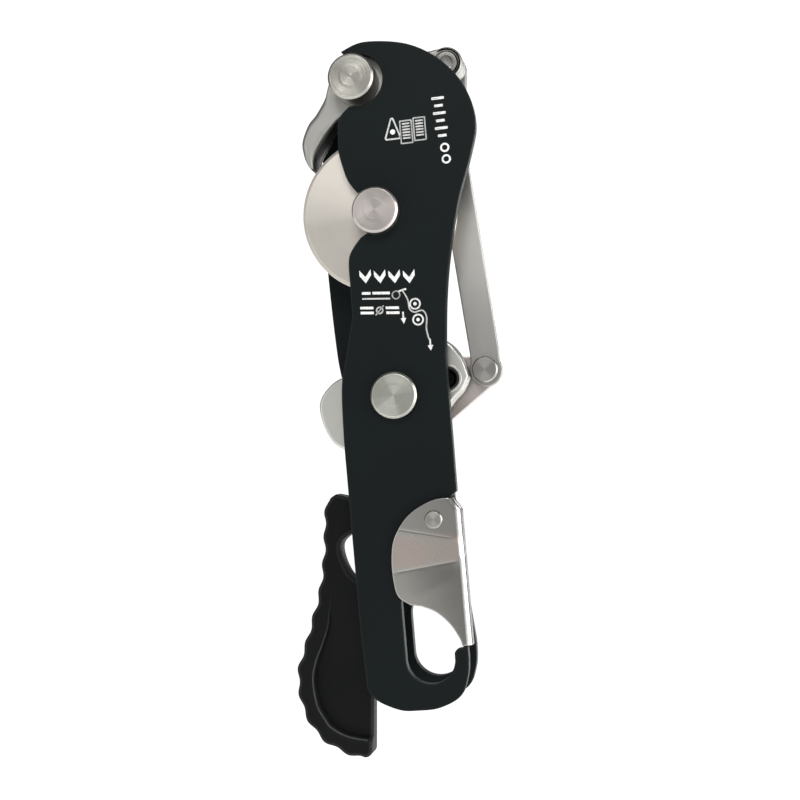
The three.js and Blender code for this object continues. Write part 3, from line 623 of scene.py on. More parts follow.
def brushed_metal(name, turn, colour, rough=0.30, line=0.16, depth=0.003, lit_span=None):
    """Metal brushed one way: long thin scratches at an angle about Y, and a few deeper ones. The last
    argument, when given, holds the heights between which it is bright; past them it is painted darker, as
    shade."""
    f = Finish(name, {"Metallic": 1.0})
    fine = f.noise(f.place((0, 0), turn, (line, line, 26)), 3, 0.6)
    coarse = f.noise(f.place((7, 3), turn, (line * 5, line * 5, 60)), 2)
    cloud = f.speck(16, 3)
    base = f.mix(fine, shade(colour, 0.92), shade(colour, 1.06))
    base = f.mix(coarse * 0.4, base, shade(colour, 0.90))
    base = f.mix(f.edge() * 0.35, base, shade(colour, 1.25))
    # Painted shade: darker below the first height and above the second.
    if lit_span:
        height = f.split(f.place())[2]
        foot_shade = (1.0 - f.step(height, lit_span[0] - 30, lit_span[0])) * 0.45
        top_shade = f.step(height, lit_span[1], lit_span[1] + 22) * 0.75
        base = f.mix(foot_shade + top_shade, base, shade(colour, 0.4))
    roughness = rough + (coarse - 0.5) * 0.14 + (cloud - 0.5) * 0.10
    return f.done(base, roughness, f.bump(fine, depth))


def rolled_sheet(name):
    """Stainless sheet: faint rolling lines, a little warm tint between the creases, painted shade that darkens
    the cheek towards the fold and more so on the lower cheek, a painted highlight on the bend and a painted
    shade line where the sheet turns to the rear."""
    f = Finish(name, {"Metallic": 1.0})
    fine = f.noise(f.place((0, 0), 4, (0.10, 0.10, 18)), 3, 0.6)
    dull = f.speck(9, 4, 5)
    warm = f.step(f.speck(13, 2, 2), 0.42, 0.62)
    base = f.mix(fine, (0.28, 0.27, 0.25), (0.33, 0.32, 0.295))
    across, _, height = f.split(f.place())
    between_creases = f.step(height, 24.5, 25.5) * (1.0 - f.step(height, 35.0, 36.0))
    base = f.mix(between_creases * (0.3 + warm * 0.4), base, (0.34, 0.275, 0.25))
    bend = FOLD - BEND
    # Painted shade: the cheek darkens towards the fold, more on the lower cheek.
    below = 1.0 - f.step(height, 22, 26)
    dim = f.step(across, -7, 13) * (0.30 + below * 0.35) * (1.0 - f.step(across, bend, bend + 0.5))
    base = f.mix(dim, base, (0.10, 0.10, 0.092))
    # Painted highlight: the bend is drawn near-white.
    base = f.mix(f.step(across, bend, bend + 0.9), base, (0.70, 0.695, 0.68))
    # Painted shade: a dark line where the sheet turns to the rear.
    base = f.mix(f.step(across, FOLD - 0.40, FOLD - 0.12), base, (0.045, 0.045, 0.042))
    base = f.mix(f.edge() * 0.4, base, (0.55, 0.54, 0.51))
    roughness = 0.29 + (dull - 0.5) * 0.14
    return f.done(base, roughness, f.bump(dull, 0.012, f.bump(fine, 0.0015)))


def moulded_nylon(name):
    """Black glass-filled nylon from a spark-eroded mould: even fine texture, soft shine, ridges greyer from
    rubbing and from painted highlight.
    """
    f = Finish(name, {"Metallic": 0.0, "Specular IOR Level": 0.07})
    texture = f.speck(0.34, 3)
    cloud = f.speck(20, 3)
    base = f.mix(cloud, (0.0046, 0.0048, 0.0049), (0.0064, 0.0066, 0.0066))
    # Greyer where the edge share is high: rubbing on the ridges, and painted highlight along the grip's bead.
    rubbed_and_highlight = f.edge() ** 2.0 * (0.7 + f.speck(2.2, 4, 8) * 0.6)
    base = f.mix(rubbed_and_highlight * 0.09, base, (0.13, 0.135, 0.135))
    roughness = 0.52 + (texture - 0.5) * 0.12 + (cloud - 0.5) * 0.08
    return f.done(base, roughness, f.bump(texture, 0.007))


def sintered_bronze(name):
    """An oiled bronze bush: porous grain and dark oil."""
    f = Finish(name, {"Metallic": 1.0})
    pores = f.speck(0.30, 4)
    oil = f.speck(4, 3)
    base = f.mix(pores, (0.24, 0.155, 0.070), (0.40, 0.27, 0.125))
    base = f.mix(oil * 0.5, base, (0.11, 0.075, 0.040))
    return f.done(base, 0.40 + (oil - 0.5) * 0.2, f.bump(pores, 0.02))


def spring_wire(name):
    """Hard drawn wire with a blue-grey oxide."""
    f = Finish(name, {"Metallic": 1.0})
    drawn = f.speck(0.5, 4)
    base = f.mix(drawn, (0.16, 0.165, 0.18), (0.27, 0.27, 0.28))
    return f.done(base, 0.34 + (drawn - 0.5) * 0.2, f.bump(drawn, 0.006))


def white_print(name):
    """Thin white ink with a slightly broken surface."""
    f = Finish(name, {"Metallic": 0.0, "Specular IOR Level": 0.3})
    grain = f.speck(0.25, 3)
    thin = f.step(f.speck(0.7, 4, 6), 0.30, 0.55)
    base = f.mix(thin, (0.50, 0.51, 0.50), (0.74, 0.74, 0.72))
    return f.done(base, 0.55 + (grain - 0.5) * 0.1, f.bump(grain, 0.002))


# ------------------------------------------------------------------ side plates
def foot_run():
    """The lower edge of both plates, from the left side round to the nose of the hook."""
    left = PLATE_LEFT
    foot = -EYE_TOP - 8.6
    return curve(at(
        (0, 0),
        (left + 0.8, -15.5),
        (left + 4.2, -19.7),
        (left + 11.5, foot + 0.5),
        (left + 17.5, foot),
        (left + 25, foot + 0.5),
        (HOOK_RIGHT - 3.8, -19.6),
        (HOOK_RIGHT - 0.8, -13.2),
        (HOOK_RIGHT, -7.5),
        (HOOK_RIGHT, nose_top(HOOK_RIGHT)),
    ))


def nose_top(x):
    """Height of the hook's nose, just under the path of the gate's corner."""
    return GATE[1] - math.sqrt(NOSE_REACH**2 - (x - GATE[0]) ** 2)


def front_plate_outline():
    """A broad head, notches for the top and middle axles, a round lug for the gate and the open eye."""
    lug = 7.3
    slot = at(MIDDLE, (1.6, 0.2))[0]
    notch = at(TOP, (1.3, -0.2))[0]
    lug_end = arc(GATE, lug, -115, -115, 1)[0]
    eye = (0, EYE_BOTTOM)
    nose = (EYE_HALF - 0.1, nose_top(EYE_HALF - 0.1))
    head = curve(
        at(TOP, (-3.5, HEAD + 2.2), (5, HEAD + 4.6), (19.6, HEAD + 2), (30.9, 2.8), (38.5, -7.8), (41, -19.8),
           (38.3, -31)),
        at(MIDDLE, (28.4, 0.8), (23.9, -17.2)),
        at(LOWER, (20.4, 30.7), (18.6, 12)),
    )
    return loop(
        head,
        at(GATE, (PLATE_RIGHT - GATE[0], 9), (PLATE_RIGHT - GATE[0] - 1.8, 7.5)),
        arc(GATE, lug, 48, -115),
        fillet(lug_end, (-EYE_HALF, GATE[1] - 9), (-EYE_HALF, 0), 5),
        arc(eye, EYE_HALF, 180, 352),
        fillet((EYE_HALF, EYE_BOTTOM), nose, (HOOK_RIGHT, nose_top(HOOK_RIGHT)), 1.8),
        foot_run()[::-1],
        curve(
            at((PLATE_LEFT, 0), (0, 5), (-0.3, LOWER[1] - 30)),
            at(LOWER, (PLATE_LEFT - LOWER[0] - 0.3, -12), (-18.2, 5), (-15.6, 16), (-12.6, 28)),
        ),
        curve(at(MIDDLE, (-11.5, -24), (-11, -14.5), (-6.6, -8.4))),
        arc(slot, SHANK + 0.7, -115, 105),
        curve(
            at(MIDDLE, (-6.6, 7.6), (-9.6, 12.6), (-11.6, 21)),
            at(TOP, (-7.2, -22.6), (-6.3, -13.6), (-2.2, -HEAD - 1.2)),
        ),
        arc(notch, HEAD + 1.0, -97, 112),
    )


def back_plate_outline():
    """Narrower than the front plate on the right, wider on the left, and closed round the eye."""
    waist = PLATE_RIGHT - 4
    return loop(
        curve(
            at(TOP, (2, 11.6), (14, 10.4), (26, 4), (34, -6), (36.4, -19), (33.4, -31)),
            at(MIDDLE, (22.4, 0), (17.6, -18)),
            at(LOWER, (waist - LOWER[0] + 1, 30), (waist - LOWER[0], 12)),
        ),
        curve(
            at(LOWER, (waist - LOWER[0], -14)),
            at((0, GATE[1]), (waist, 8), (HOOK_RIGHT - 2.6, -10), (HOOK_RIGHT - 1.2, -30)),
            at((0, 0), (HOOK_RIGHT, nose_top(HOOK_RIGHT))),
        ),
        foot_run()[::-1],
        curve(
            at((PLATE_LEFT, 0), (0, 5), (-0.3, LOWER[1] - 30)),
            at(LOWER, (PLATE_LEFT - LOWER[0] - 0.6, -8), (-22.8, 10), (-23.9, 23)),
            at(MIDDLE, (-23.7, -17.3), (-23.5, 0), (-18, 14), (-14, 23)),
            at(TOP, (-11.6, -20.6), (-16.9, -24.2)),
        ),
        curve(at(TOP, (-17.8, -22.4), (-17.4, -11), (-15.8, -2.4), (-12.4, 3.2), (-6.4, 9.4))),
    )


def eye_hole(half, centre_x, top):
    """The closed carabiner eye of the back plate: two half circles joined by straight sides."""
    return loop(arc((centre_x, EYE_BOTTOM), half, 180, 360), arc((centre_x, top), half, 0, 180))


def circle(centre, radius, steps=72):
    return arc(centre, radius, 0, 360, steps)[:-1]


def side_plates():
    """Both are cut from one plate and have their edges broken a little."""
    finish = black_anodised("black_anodised")
    broken = 0.22
    holes = [circle(LOWER, HEAD), circle(GATE, 2.32)]
    shape = plate(Surface(), front_plate_outline(), holes, PLATE_FRONT, PLATE_REAR, broken)
    shape.make("front_side_plate", "front_plate", finish, "front_plate", "black_anodised")
    holes = [circle(c, 4.1) for c in AXLES.values()] + [circle(c, 2.12, 40) for c in (DOWEL, STOP)]
    holes.append(eye_hole(EYE_HALF + 0.4, -0.4, EYE_TOP - EYE_HALF))
    shape = plate(Surface(), back_plate_outline(), holes, BACK_FRONT, BACK_REAR, broken, hole_edge=0.14)
    shape.make("back_side_plate", "chassis", finish, "back_plate", "black_anodised")


side_plates()


# ------------------------------------------------------------------ turned pieces
STEEL = (0.52, 0.50, 0.465)
# Each head's colour is set to how bright it looks where it stands, darkest on the top axle: painted light and
# shade on one steel.
HEAD_SHADED_TINT = {
    "top_axle": (0.375, 0.365, 0.325),
    "middle_axle": (0.56, 0.515, 0.485),
    "lower_axle": (0.51, 0.515, 0.455),
}
# Angle of each head's painted sheen: painted highlight and shade.
HEAD_PAINTED_SHEEN = {"top_axle": 78, "middle_axle": 160, "lower_axle": 66}


def ring(node, name, body, inner, centre, finish, slot, chamfer=0.2):
    """A plain turned ring that takes its outer size and its ends from its CAD node."""
    lo, hi = low(node), high(node)
    outer = (hi[0] - lo[0]) / 2
    front, back = lo[1], hi[1]
    shape = turned(
        Surface(), centre,
        (inner, back, chamfer), (inner, front, chamfer), (outer, front, chamfer), (outer, back, chamfer),
    )
    shape.make(name, body, finish, node, slot)


def axle(node, shoulder, shank):
    """Head with a polished chamfer, shank, and the spigot in the back plate, bored for its screw."""
    centre = AXLES[node]
    front, end = low(node)[1], high(node)[1]
    seat = BACK_FRONT - 0.1
    bore, bore_floor, spigot = 2.62, 3.7, 3.98
    finish = turned_metal(f"{node}_steel", centre, HEAD_SHADED_TINT[node], 0.16, 0.18, 0.30, HEAD_PAINTED_SHEEN[node], 0.05)
    turned(
        Surface(), centre,
        (0, front, 0), (0, bore_floor, 0), (bore, bore_floor, 0.1), (bore, end, 0.2), (spigot, end, 0.2),
        (spigot, seat, 0.1), (shank, seat, 0.3), (shank, shoulder, 0.1), (HEAD, shoulder, 0.25),
        (HEAD, front + 0.75, 0.18), (HEAD - 0.7, front, 0.18),
    ).make(f"{node}_turned", "chassis", finish, node, "turned_steel")


def screw(node, centre):
    """Button-head screw: a turned blank whose socket rings follow a hexagon, r / cos(a) for a from -30 to 30
    degrees on each side."""
    tip, crown = low(node)[1], high(node)[1]
    under = crown - 2.6
    radius = (high(node) - low(node))[0] / 2
    segments = 96
    angle = 2 * np.pi * np.arange(segments) / segments
    hexagon = 1.62 / np.cos((angle + np.pi / 6) % (np.pi / 3) - np.pi / 6)
    dome = np.radians(np.linspace(0, 90, 9))
    profile = [(0, tip), (2.1, tip), (2.45, tip + 0.5), (2.5, tip + 0.8), (2.5, under - 0.1), (2.55, under)]
    profile += [(radius - 0.15, under), (radius, under + 0.15), (radius, under + 0.6)]
    profile += [(2.3 + (radius - 2.3) * math.cos(a), under + 0.6 + 2.0 * math.sin(a)) for a in dome[1:]]
    profile += [(1.10 * hexagon, crown), (hexagon, crown - 0.15), (hexagon, crown - 1.5), (0, crown - 1.9)]
    rows = [np.stack([r * np.cos(angle), np.full(segments, y), r * np.sin(angle)], 1) for r, y in profile]
    surface = Surface()
    surface.grid(np.array(rows) + (centre[0], 0, centre[1]))
    finish = turned_metal(f"{node}_steel", centre, shade(STEEL, 0.8), 0.3)
    surface.make(f"{node}_turned", "chassis", finish, node, "turned_steel")


axle("top_axle", FINGER_FRONT - GAP, SHANK)
axle("middle_axle", PLATE_FRONT - GAP, SHANK)
axle("lower_axle", PLATE_FRONT - GAP, BUSH_BORE - GAP)
for where, spot in AXLES.items():
    screw(f"{where}_screw", spot)
    steel = turned_metal(f"{where}_washer_steel", spot, STEEL, 0.2, 0.1, 0.33)
    ring(f"{where}_washer", f"{where}_washer_turned", "chassis", 2.8, spot, steel, "turned_steel", 0.15)

bronze = sintered_bronze("oiled_bronze")
ring("finger_bush", "finger_bush_turned", "finger", SHANK + 0.3, TOP, bronze, "bronze")
ring("cam_bush", "cam_bush_turned", "lever", BUSH_BORE, LOWER, bronze, "bronze")
ring("plate_bush", "plate_bush_turned", "front_plate", BUSH_BORE, LOWER, bronze, "bronze")
for node, body, inner, spot, chamfer in (
    ("bobbin_spacer", "chassis", SHANK + 0.12, MIDDLE, 0.2),
    ("top_spacer", "chassis", SHANK + 0.12, TOP, 0.2),
    ("cam_washer", "chassis", BUSH_BORE, LOWER, 0.2),
    ("cam_eyelet_spacer", "lever", EYELET_SEAT, EYELET, 0.2),
    ("gate_washer", "front_plate", 2.32, GATE, 0.1),
):
    steel = turned_metal(f"{node}_steel", spot, shade(STEEL, 0.9), 0.2, 0.1, 0.35)
    ring(node, f"{node}_turned", body, inner, spot, steel, "turned_steel", chamfer)


def pin(node, centre, body, *corners):
    """A solid turned pin."""
    finish = turned_metal(f"{node}_steel", centre, shade(STEEL, 0.72), 0.12, 0.15, 0.30)
    turned(Surface(), centre, *corners).make(f"{node}_turned", body, finish, node, "turned_steel")


for node, spot in (("bobbin_dowel", DOWEL), ("handle_stop_pin", STOP)):
    a, b = low(node)[1], high(node)[1]
    pin(node, spot, "chassis", (0, a, 0), (0, b, 0), (2, b, 0.35), (2, a, 0.35))


def headed_pin(node, centre, body, shank, head, head_height):
    """A pin with a round head at the front."""
    a, b = low(node)[1], high(node)[1]
    pin(
        node, centre, body,
        (0, a, 0), (0, b, 0), (shank, b, 0.2), (shank, a + head_height, 0.05),
        (head, a + head_height, 0.12), (head, a + 0.45, 0.15), (head - 0.45, a, 0.15),
    )


headed_pin("link_pin", LINK, "lever", 3, 4.5, 3.9)
headed_pin("gate_pin", GATE, "front_plate", 2.2, 3.1, 0.8)
for number, spot in enumerate(GRIP_RIVETS, 1):
    headed_pin(f"grip_rivet_{number}", spot, "lever", 2.4, 3.7, 1.1)


def cam_eyelet():
    """Blackened, with a countersunk mouth and a bore that steps down to a floor."""
    a, b = low("cam_eyelet")[1], high("cam_eyelet")[1]
    finish = turned_metal("eyelet_steel", EYELET, (0.050, 0.050, 0.052), 0.15, 0.1, 0.36)
    turned(
        Surface(), EYELET,
        (0, b, 0), (0, a + 7, 0), (1.2, a + 7, 0.1), (1.2, a + 5, 0.2), (2.1, a + 5, 0.2),
        (2.1, a + 2.2, 0.2), (2.95, a + 1.2, 0.2), (2.95, a + 0.5, 0.15), (3.35, a, 0.12), (3.7, a, 0.12),
        (3.7, b, 0.2),
    ).make("cam_eyelet_turned", "lever", finish, "cam_eyelet", "turned_steel")


def eye_rivet():
    """A tubular rivet through the finger's eye and the link bar, with a flange at either end."""
    a, b = low("eye_rivet")[1], high("eye_rivet")[1]
    bore, shank, flange, tail = 2.4, 2.9, 3.85, 4.15
    under_flange, over_tail = FINGER_FRONT - 0.05, BAR_REAR + 0.1
    finish = turned_metal("eye_rivet_steel", RIVET, shade(STEEL, 0.36), 0.15, 0.1, 0.34)
    turned(
        Surface(), RIVET,
        (bore, a, 0.15), (flange, a, 0.15), (flange, under_flange, 0.05), (shank, under_flange, 0.05),
        (shank, over_tail, 0.05), (tail, over_tail, 0.05), (tail, b, 0.15), (bore, b, 0.15),
    ).make("eye_rivet_turned", "finger", finish, "eye_rivet", "turned_steel")


cam_eyelet()
eye_rivet()


# ------------------------------------------------------------------ bobbin
def bobbin():
    """Turned flanges with a soft lip, and a round-bottomed groove between them."""
    a, b = low("upper_bobbin")[1], high("upper_bobbin")[1]
    radius = (high("upper_bobbin") - low("upper_bobbin"))[0] / 2
    rear_radius = radius - 1.8
    bore = SHANK + 0.12
    groove = 17.5
    middle = (a + b) / 2
    # Its finish paints a sheen at 128 degrees round the axis: painted highlight and shade.
    finish = turned_metal("bobbin_satin", MIDDLE, (0.57, 0.535, 0.485), 0.30, 0.06, 0.44, 128, 0.05)
    turned(
        Surface(), MIDDLE,
        (bore, a, 0.3), (bore, b, 0.3), (rear_radius - 1.1, b, 0.2), (rear_radius, b - 0.55, 0.3),
        (rear_radius, b - 1.5, 0.3), (groove + 1.2, middle + 1.7, 0.6), (groove, middle, 1.6),
        (groove + 1.2, middle - 1.7, 0.6), (radius, a + 1.5, 0.3), (radius, a + 0.55, 0.3),
        (radius - 1.1, a, 0.2),
        segments=160,
    ).make("bobbin_turned", "chassis", finish, "upper_bobbin", "satin_aluminium")


bobbin()


# ------------------------------------------------------------------ brake finger
def finger():
    """A forged claw: its rim is rounded more than the arm's and runs out at the tip, its rope side is painted
    dark as shade, and the pad under it is deeper than the arm."""
    hub = 9.8
    knuckle = at(TOP, (-18.7, -12.4), (-21.3, -18.3), (-21, -23), (-19.8, -26.4), (-18.6, -28.4))
    inner_tip = at(TOP, (-17.8, -28), (-16.8, -23))
    tip = TOP + (-18.3, -28.3)
    outer = loop(
        arc(RIVET, 5.7, -96, 110),
        curve(at(TOP, (22, 7.6), (13, 9.6), (5, hub - 0.8))),
        arc(TOP, hub, 90, 168),
        curve(at(TOP, (-11.4, -3.2), (-15.3, -8.7)), knuckle),
        curve(inner_tip, at(TOP, (-11.8, -16.3), (-7.3, -11.9), (-1.4, 0.4 - hub))),
        curve(at(TOP, (5, -10.6), (14, -6)), at(RIVET, (-8, -5))),
    )
    pad = loop(
        curve(at(TOP, (-15.6, -9.2)), knuckle),
        curve(inner_tip, at(TOP, (-12.2, -16.7))),
    )
    outer = finer(outer, 0.8)
    x, z = (outer - TOP).T
    claw = np.clip((-9 - x) / 3, 0, 1) * np.clip((-2 - z) / 3, 0, 1)
    reach = np.linalg.norm(outer - tip, axis=1)
    rim = np.minimum(0.9 + 1.1 * claw, 0.10 + 0.26 * reach)
    rear = 0.6 - 0.57 * claw
    rope_side = (0.75, -0.66)
    # Painted shade: the wall on the rope side is marked -1, so the finish draws it near-black.
    shaded_face = -facing(outer, rope_side) * np.clip((-8 - z) / 2, 0, 1) * np.clip(-x / 2, 0, 1)
    surface = Surface()
    wall = [(0, 0.04, shaded_face), (0, 0.96, shaded_face)]
    holes = [circle(TOP, 7.12), circle(RIVET, 3.9)]
    plate(surface, outer, holes, FINGER_FRONT, CAM_REAR, rim, rear, 0.9, wall=wall)
    pad = finer(pad, 0.8)
    # Painted shade on the pad's rope side too.
    shaded_face = -facing(pad, rope_side)
    wall = [(0, 0.04, shaded_face), (0, 0.96, shaded_face)]
    pad_edge = np.minimum(0.6, 0.05 + 0.2 * np.linalg.norm(pad - tip, axis=1))
    overlap, thin = 1.2, 0.03
    plate(surface, inset(pad, thin), [], CAM_REAR - overlap, FINGER_REAR, thin, pad_edge, wall=wall)
    finish = cast_metal("forged_steel", (0.33, 0.325, 0.305), 0.47, polish=0.15)
    surface.make("brake_finger_forged", "finger", finish, "brake_finger", "cast_steel")


finger()


# ------------------------------------------------------------------ link bar and arm
def link_bar():
    """Flat bar with round ends and a slight bend under the rivet."""
    half = 9.9 / 2
    bend = at(RIVET, (-2, -30))[0]
    outer = loop(
        arc(RIVET, 5.75, 0, 180),
        at(bend, (-half - 0.4, 0)),
        at(LINK, (-half - 0.2, 6.4)),
        arc(LINK, 5.75, 150, 390),
        at(LINK, (half + 0.1, 6.4)),
        at(bend, (half + 0.4, 0)),
    )
    # The bar is painted darker below 130 mm and above 176 mm: painted shade.
    finish = brushed_metal("bar_brushed", 2, (0.445, 0.435, 0.41), 0.42, lit_span=(130, 176))
    holes = [circle(RIVET, 3.5), circle(LINK, 3.3)]
    shape = plate(Surface(), finer(outer, 2), holes, BAR_FRONT, BAR_REAR, 0.35)
    shape.make("link_bar_brushed", "link", finish, "link_bar", "brushed_steel")


def arm():
    """The plate behind the cam that carries the link pin and runs down inside the grip."""
    first, second = GRIP_RIVETS
    outer = loop(
        arc(LINK, 5.2, -50, 92),
        at(LINK, (-8, 5.6)),
        at(LOWER, (12, 13)),
        arc(LOWER, 16, 55, 175),
        curve(at(LOWER, (-18, -14), (-22, -30)), at(first, (-6.5, -4))),
        at(second, (-6.5, 12)),
        arc(second, 6.2, 180, 360),
        at(second, (6.2, 12)),
        at(STOP, (-3.3, -8), (-2.3, 6)),
        curve(at(LOWER, (-3.6, -18), (5, -15.6), (16, -9.6))),
    )
    holes = [circle(LOWER, BUSH_SEAT), circle(EYELET, EYELET_SEAT), circle(LINK, 3.12)]
    holes += [circle(c, RIVET_SEAT) for c in GRIP_RIVETS]
    finish = brushed_metal("arm_brushed", -44, (0.50, 0.455, 0.435), 0.40)
    shape = plate(Surface(), finer(outer, 2), holes, low("arm_plate")[1], high("arm_plate")[1], 0.3)
    shape.make("arm_plate_brushed", "lever", finish, "arm_plate", "brushed_steel")


link_bar()
arm()


# ------------------------------------------------------------------ cam
def cam():
    """A casting with a polished rim, a rope groove round its edge and a raised ring round the eyelet. The
    groove's depth is d (1 + cos(2 pi s)) / 2 for s from -1/2 to 1/2 across its width."""
    front = low("cam_bush")[1]
    outer = loop(curve(at(
        LOWER, (25, 4.6), (22.7, 12.1), (17.6, 18.1), (8, 21.6), (-4, 19), (-13, 11), (-22.9, 6.4),
        (-28, -0.6), (-26, -10.8), (-20.9, -16.5), (-8, -20), (8, -15.5), (18.2, -3.9), (22.3, 0), (25, 4.6),
    )))
    depth, width = 3.4, 0.62
    across = np.linspace(-0.5, 0.5, 13)
    groove = [(depth * (1 + math.cos(2 * math.pi * s)) / 2, 0.5 + width * s, 0.0) for s in across]
    rear = high("cam")[1]
    surface = Surface()
    holes = [circle(LOWER, BUSH_SEAT), circle(EYELET, EYELET_SEAT)]
    plate(surface, outer, holes, front, CAM_REAR, 0.85, 0.6, 0.25, wall=groove)
    turned(
        surface, EYELET,
        (4.05, front + 0.5, 0.05), (4.05, front - 0.5, 0.2), (4.95, front - 0.5, 0.25),
        (5.15, front + 0.5, 0.05),
    )
    turned(
        surface, LOWER,
        (7.95, CAM_REAR - 1, 0.05), (7.95, rear, 0.2), (10, rear, 0.3), (10, CAM_REAR - 1, 0.05),
    )
    finish = cast_metal("cast_alloy", (0.46, 0.455, 0.425), 0.42, 0.5, 0.006, 0.5)
    surface.make("cam_cast", "lever", finish, "cam", "cast_aluminium")


cam()


# ------------------------------------------------------------------ grip
def grip():
    """Moulded handle. Its long edge is a curve moved sideways by a cosine with eleven waves, and a hollow
    falls away from a line drawn inside the rim, steep at the line and running out towards the top and the
    inner side."""
    waves, wave = 11, 0.5
    depth, draft = 3.0, 0.7
    base = curve(at(
        LOWER, (-27.6, -33.1), (-30.0, -38), (-31.2, -50), (-34, -64.5), (-39.4, -80), (-44.1, -93),
        (-43.4, -105.5), (-38.6, -115), (-31.6, -120.6), (-24, -123.6),
    ), per=40)
    length = np.concatenate([[0], np.cumsum(np.linalg.norm(np.diff(base, axis=0), axis=1))])
    steps_per_wave = 16
    share = np.linspace(0, 1, waves * steps_per_wave + 1)
    along = np.stack([np.interp(share * length[-1], length, base[:, i]) for i in (0, 1)], 1)
    tangent = np.gradient(along, axis=0)
    tangent /= np.linalg.norm(tangent, axis=1)[:, None]
    swell = wave * np.cos(2 * np.pi * waves * share) * np.clip(share * 14, 0, 1)
    edge = along - swell[:, None] * np.stack([tangent[:, 1], -tangent[:, 0]], 1)
    outer = loop(
        edge,
        fillet(at(LOWER, (-25, -123.3))[0], at(LOWER, (-20.2, -123.9))[0], at(LOWER, (-18.6, -105))[0], 2.6),
        curve(at(
            LOWER, (-18.6, -105), (-16.4, -94), (-8, -84), (-7.6, -70), (-15, -65), (-22.7, -60.6),
            (-25.8, -51.4), (-22.8, -46.8), (-12, -42), (-9.4, -36), (-12.5, -32), (-17, -32.2),
            (-20.9, -33.4), (-23.4, -32.6), (-25.6, -32.0),
        )),
    )
    line = curve(at(
        LOWER, (-30.0, -62), (-30.2, -68), (-31.2, -73), (-32.1, -77.8), (-34.7, -83.9), (-37.4, -89.7),
        (-38.9, -95.8), (-38.2, -104.2), (-35.8, -109.5), (-33.5, -112.7), (-27.4, -116.1), (-16, -118.4),
    ))
    front, back = low("handle_grip")[1], high("handle_grip")[1]

    def inside_line(x, z):
        """Distance to the line, positive on the hollow's side."""
        points = np.stack([np.ravel(x), np.ravel(z)], 1)
        a, b = line[:-1], line[1:]
        way = b - a
        t = np.clip(np.sum((points[:, None] - a) * way, 2) / np.sum(way**2, 1), 0, 1)
        off = points[:, None] - (a + t[..., None] * way)
        nearest = np.argmin(np.sum(off**2, 2), 1)
        row = np.arange(len(points))
        away = off[row, nearest]
        side = way[nearest, 0] * away[:, 1] - way[nearest, 1] * away[:, 0]
        return (np.sign(side) * np.linalg.norm(away, axis=1)).reshape(np.shape(x))

    def run_out(z):
        """1 low down and 0 towards the top, t t (3 - 2 t)."""
        run = np.clip((LOWER[1] - 64 - z) / 30, 0, 1)
        return run * run * (3 - 2 * run)

    def sunk(x, z):
        """Depth below the front face: a low bead along the line, then a steep step, both times run_out."""
        inner = inside_line(x, z)
        bead = 0.3 * np.exp(-(((inner + 0.15) / 0.28) ** 2))
        return run_out(z) * (depth * np.clip(inner / draft, 0, 1) - bead)

    def bead_highlight(x, z):
        """The bead is painted grey: a painted highlight."""
        return 2.6 * np.exp(-(((inside_line(x, z) + 0.05) / 0.25) ** 2)) * run_out(z) ** 0.5

    way = np.gradient(line, axis=0)
    side = np.stack([-way[:, 1], way[:, 0]], 1) / np.linalg.norm(way, axis=1)[:, None]
    room = [inset(loop(outer), 1.5)]
    bands = [line + side * off for off in (-0.5, -0.25, 0, 0.22, draft + 0.02, draft + 0.5)]
    bands = [band[inside(band, room)] for band in bands]
    surface = Surface()
    plate(
        surface, finer(outer, 1.0), [circle(c, RIVET_SEAT, 40) for c in GRIP_RIVETS],
        lambda x, z: front + sunk(x, z), back, 1.0, 0.6, 0.3, lines=bands, cell=1.4, shine=bead_highlight,
    )
    finish = moulded_nylon("black_nylon")
    surface.make("grip_moulded", "lever", finish, "handle_grip", "black_nylon", sharp=50)


grip()


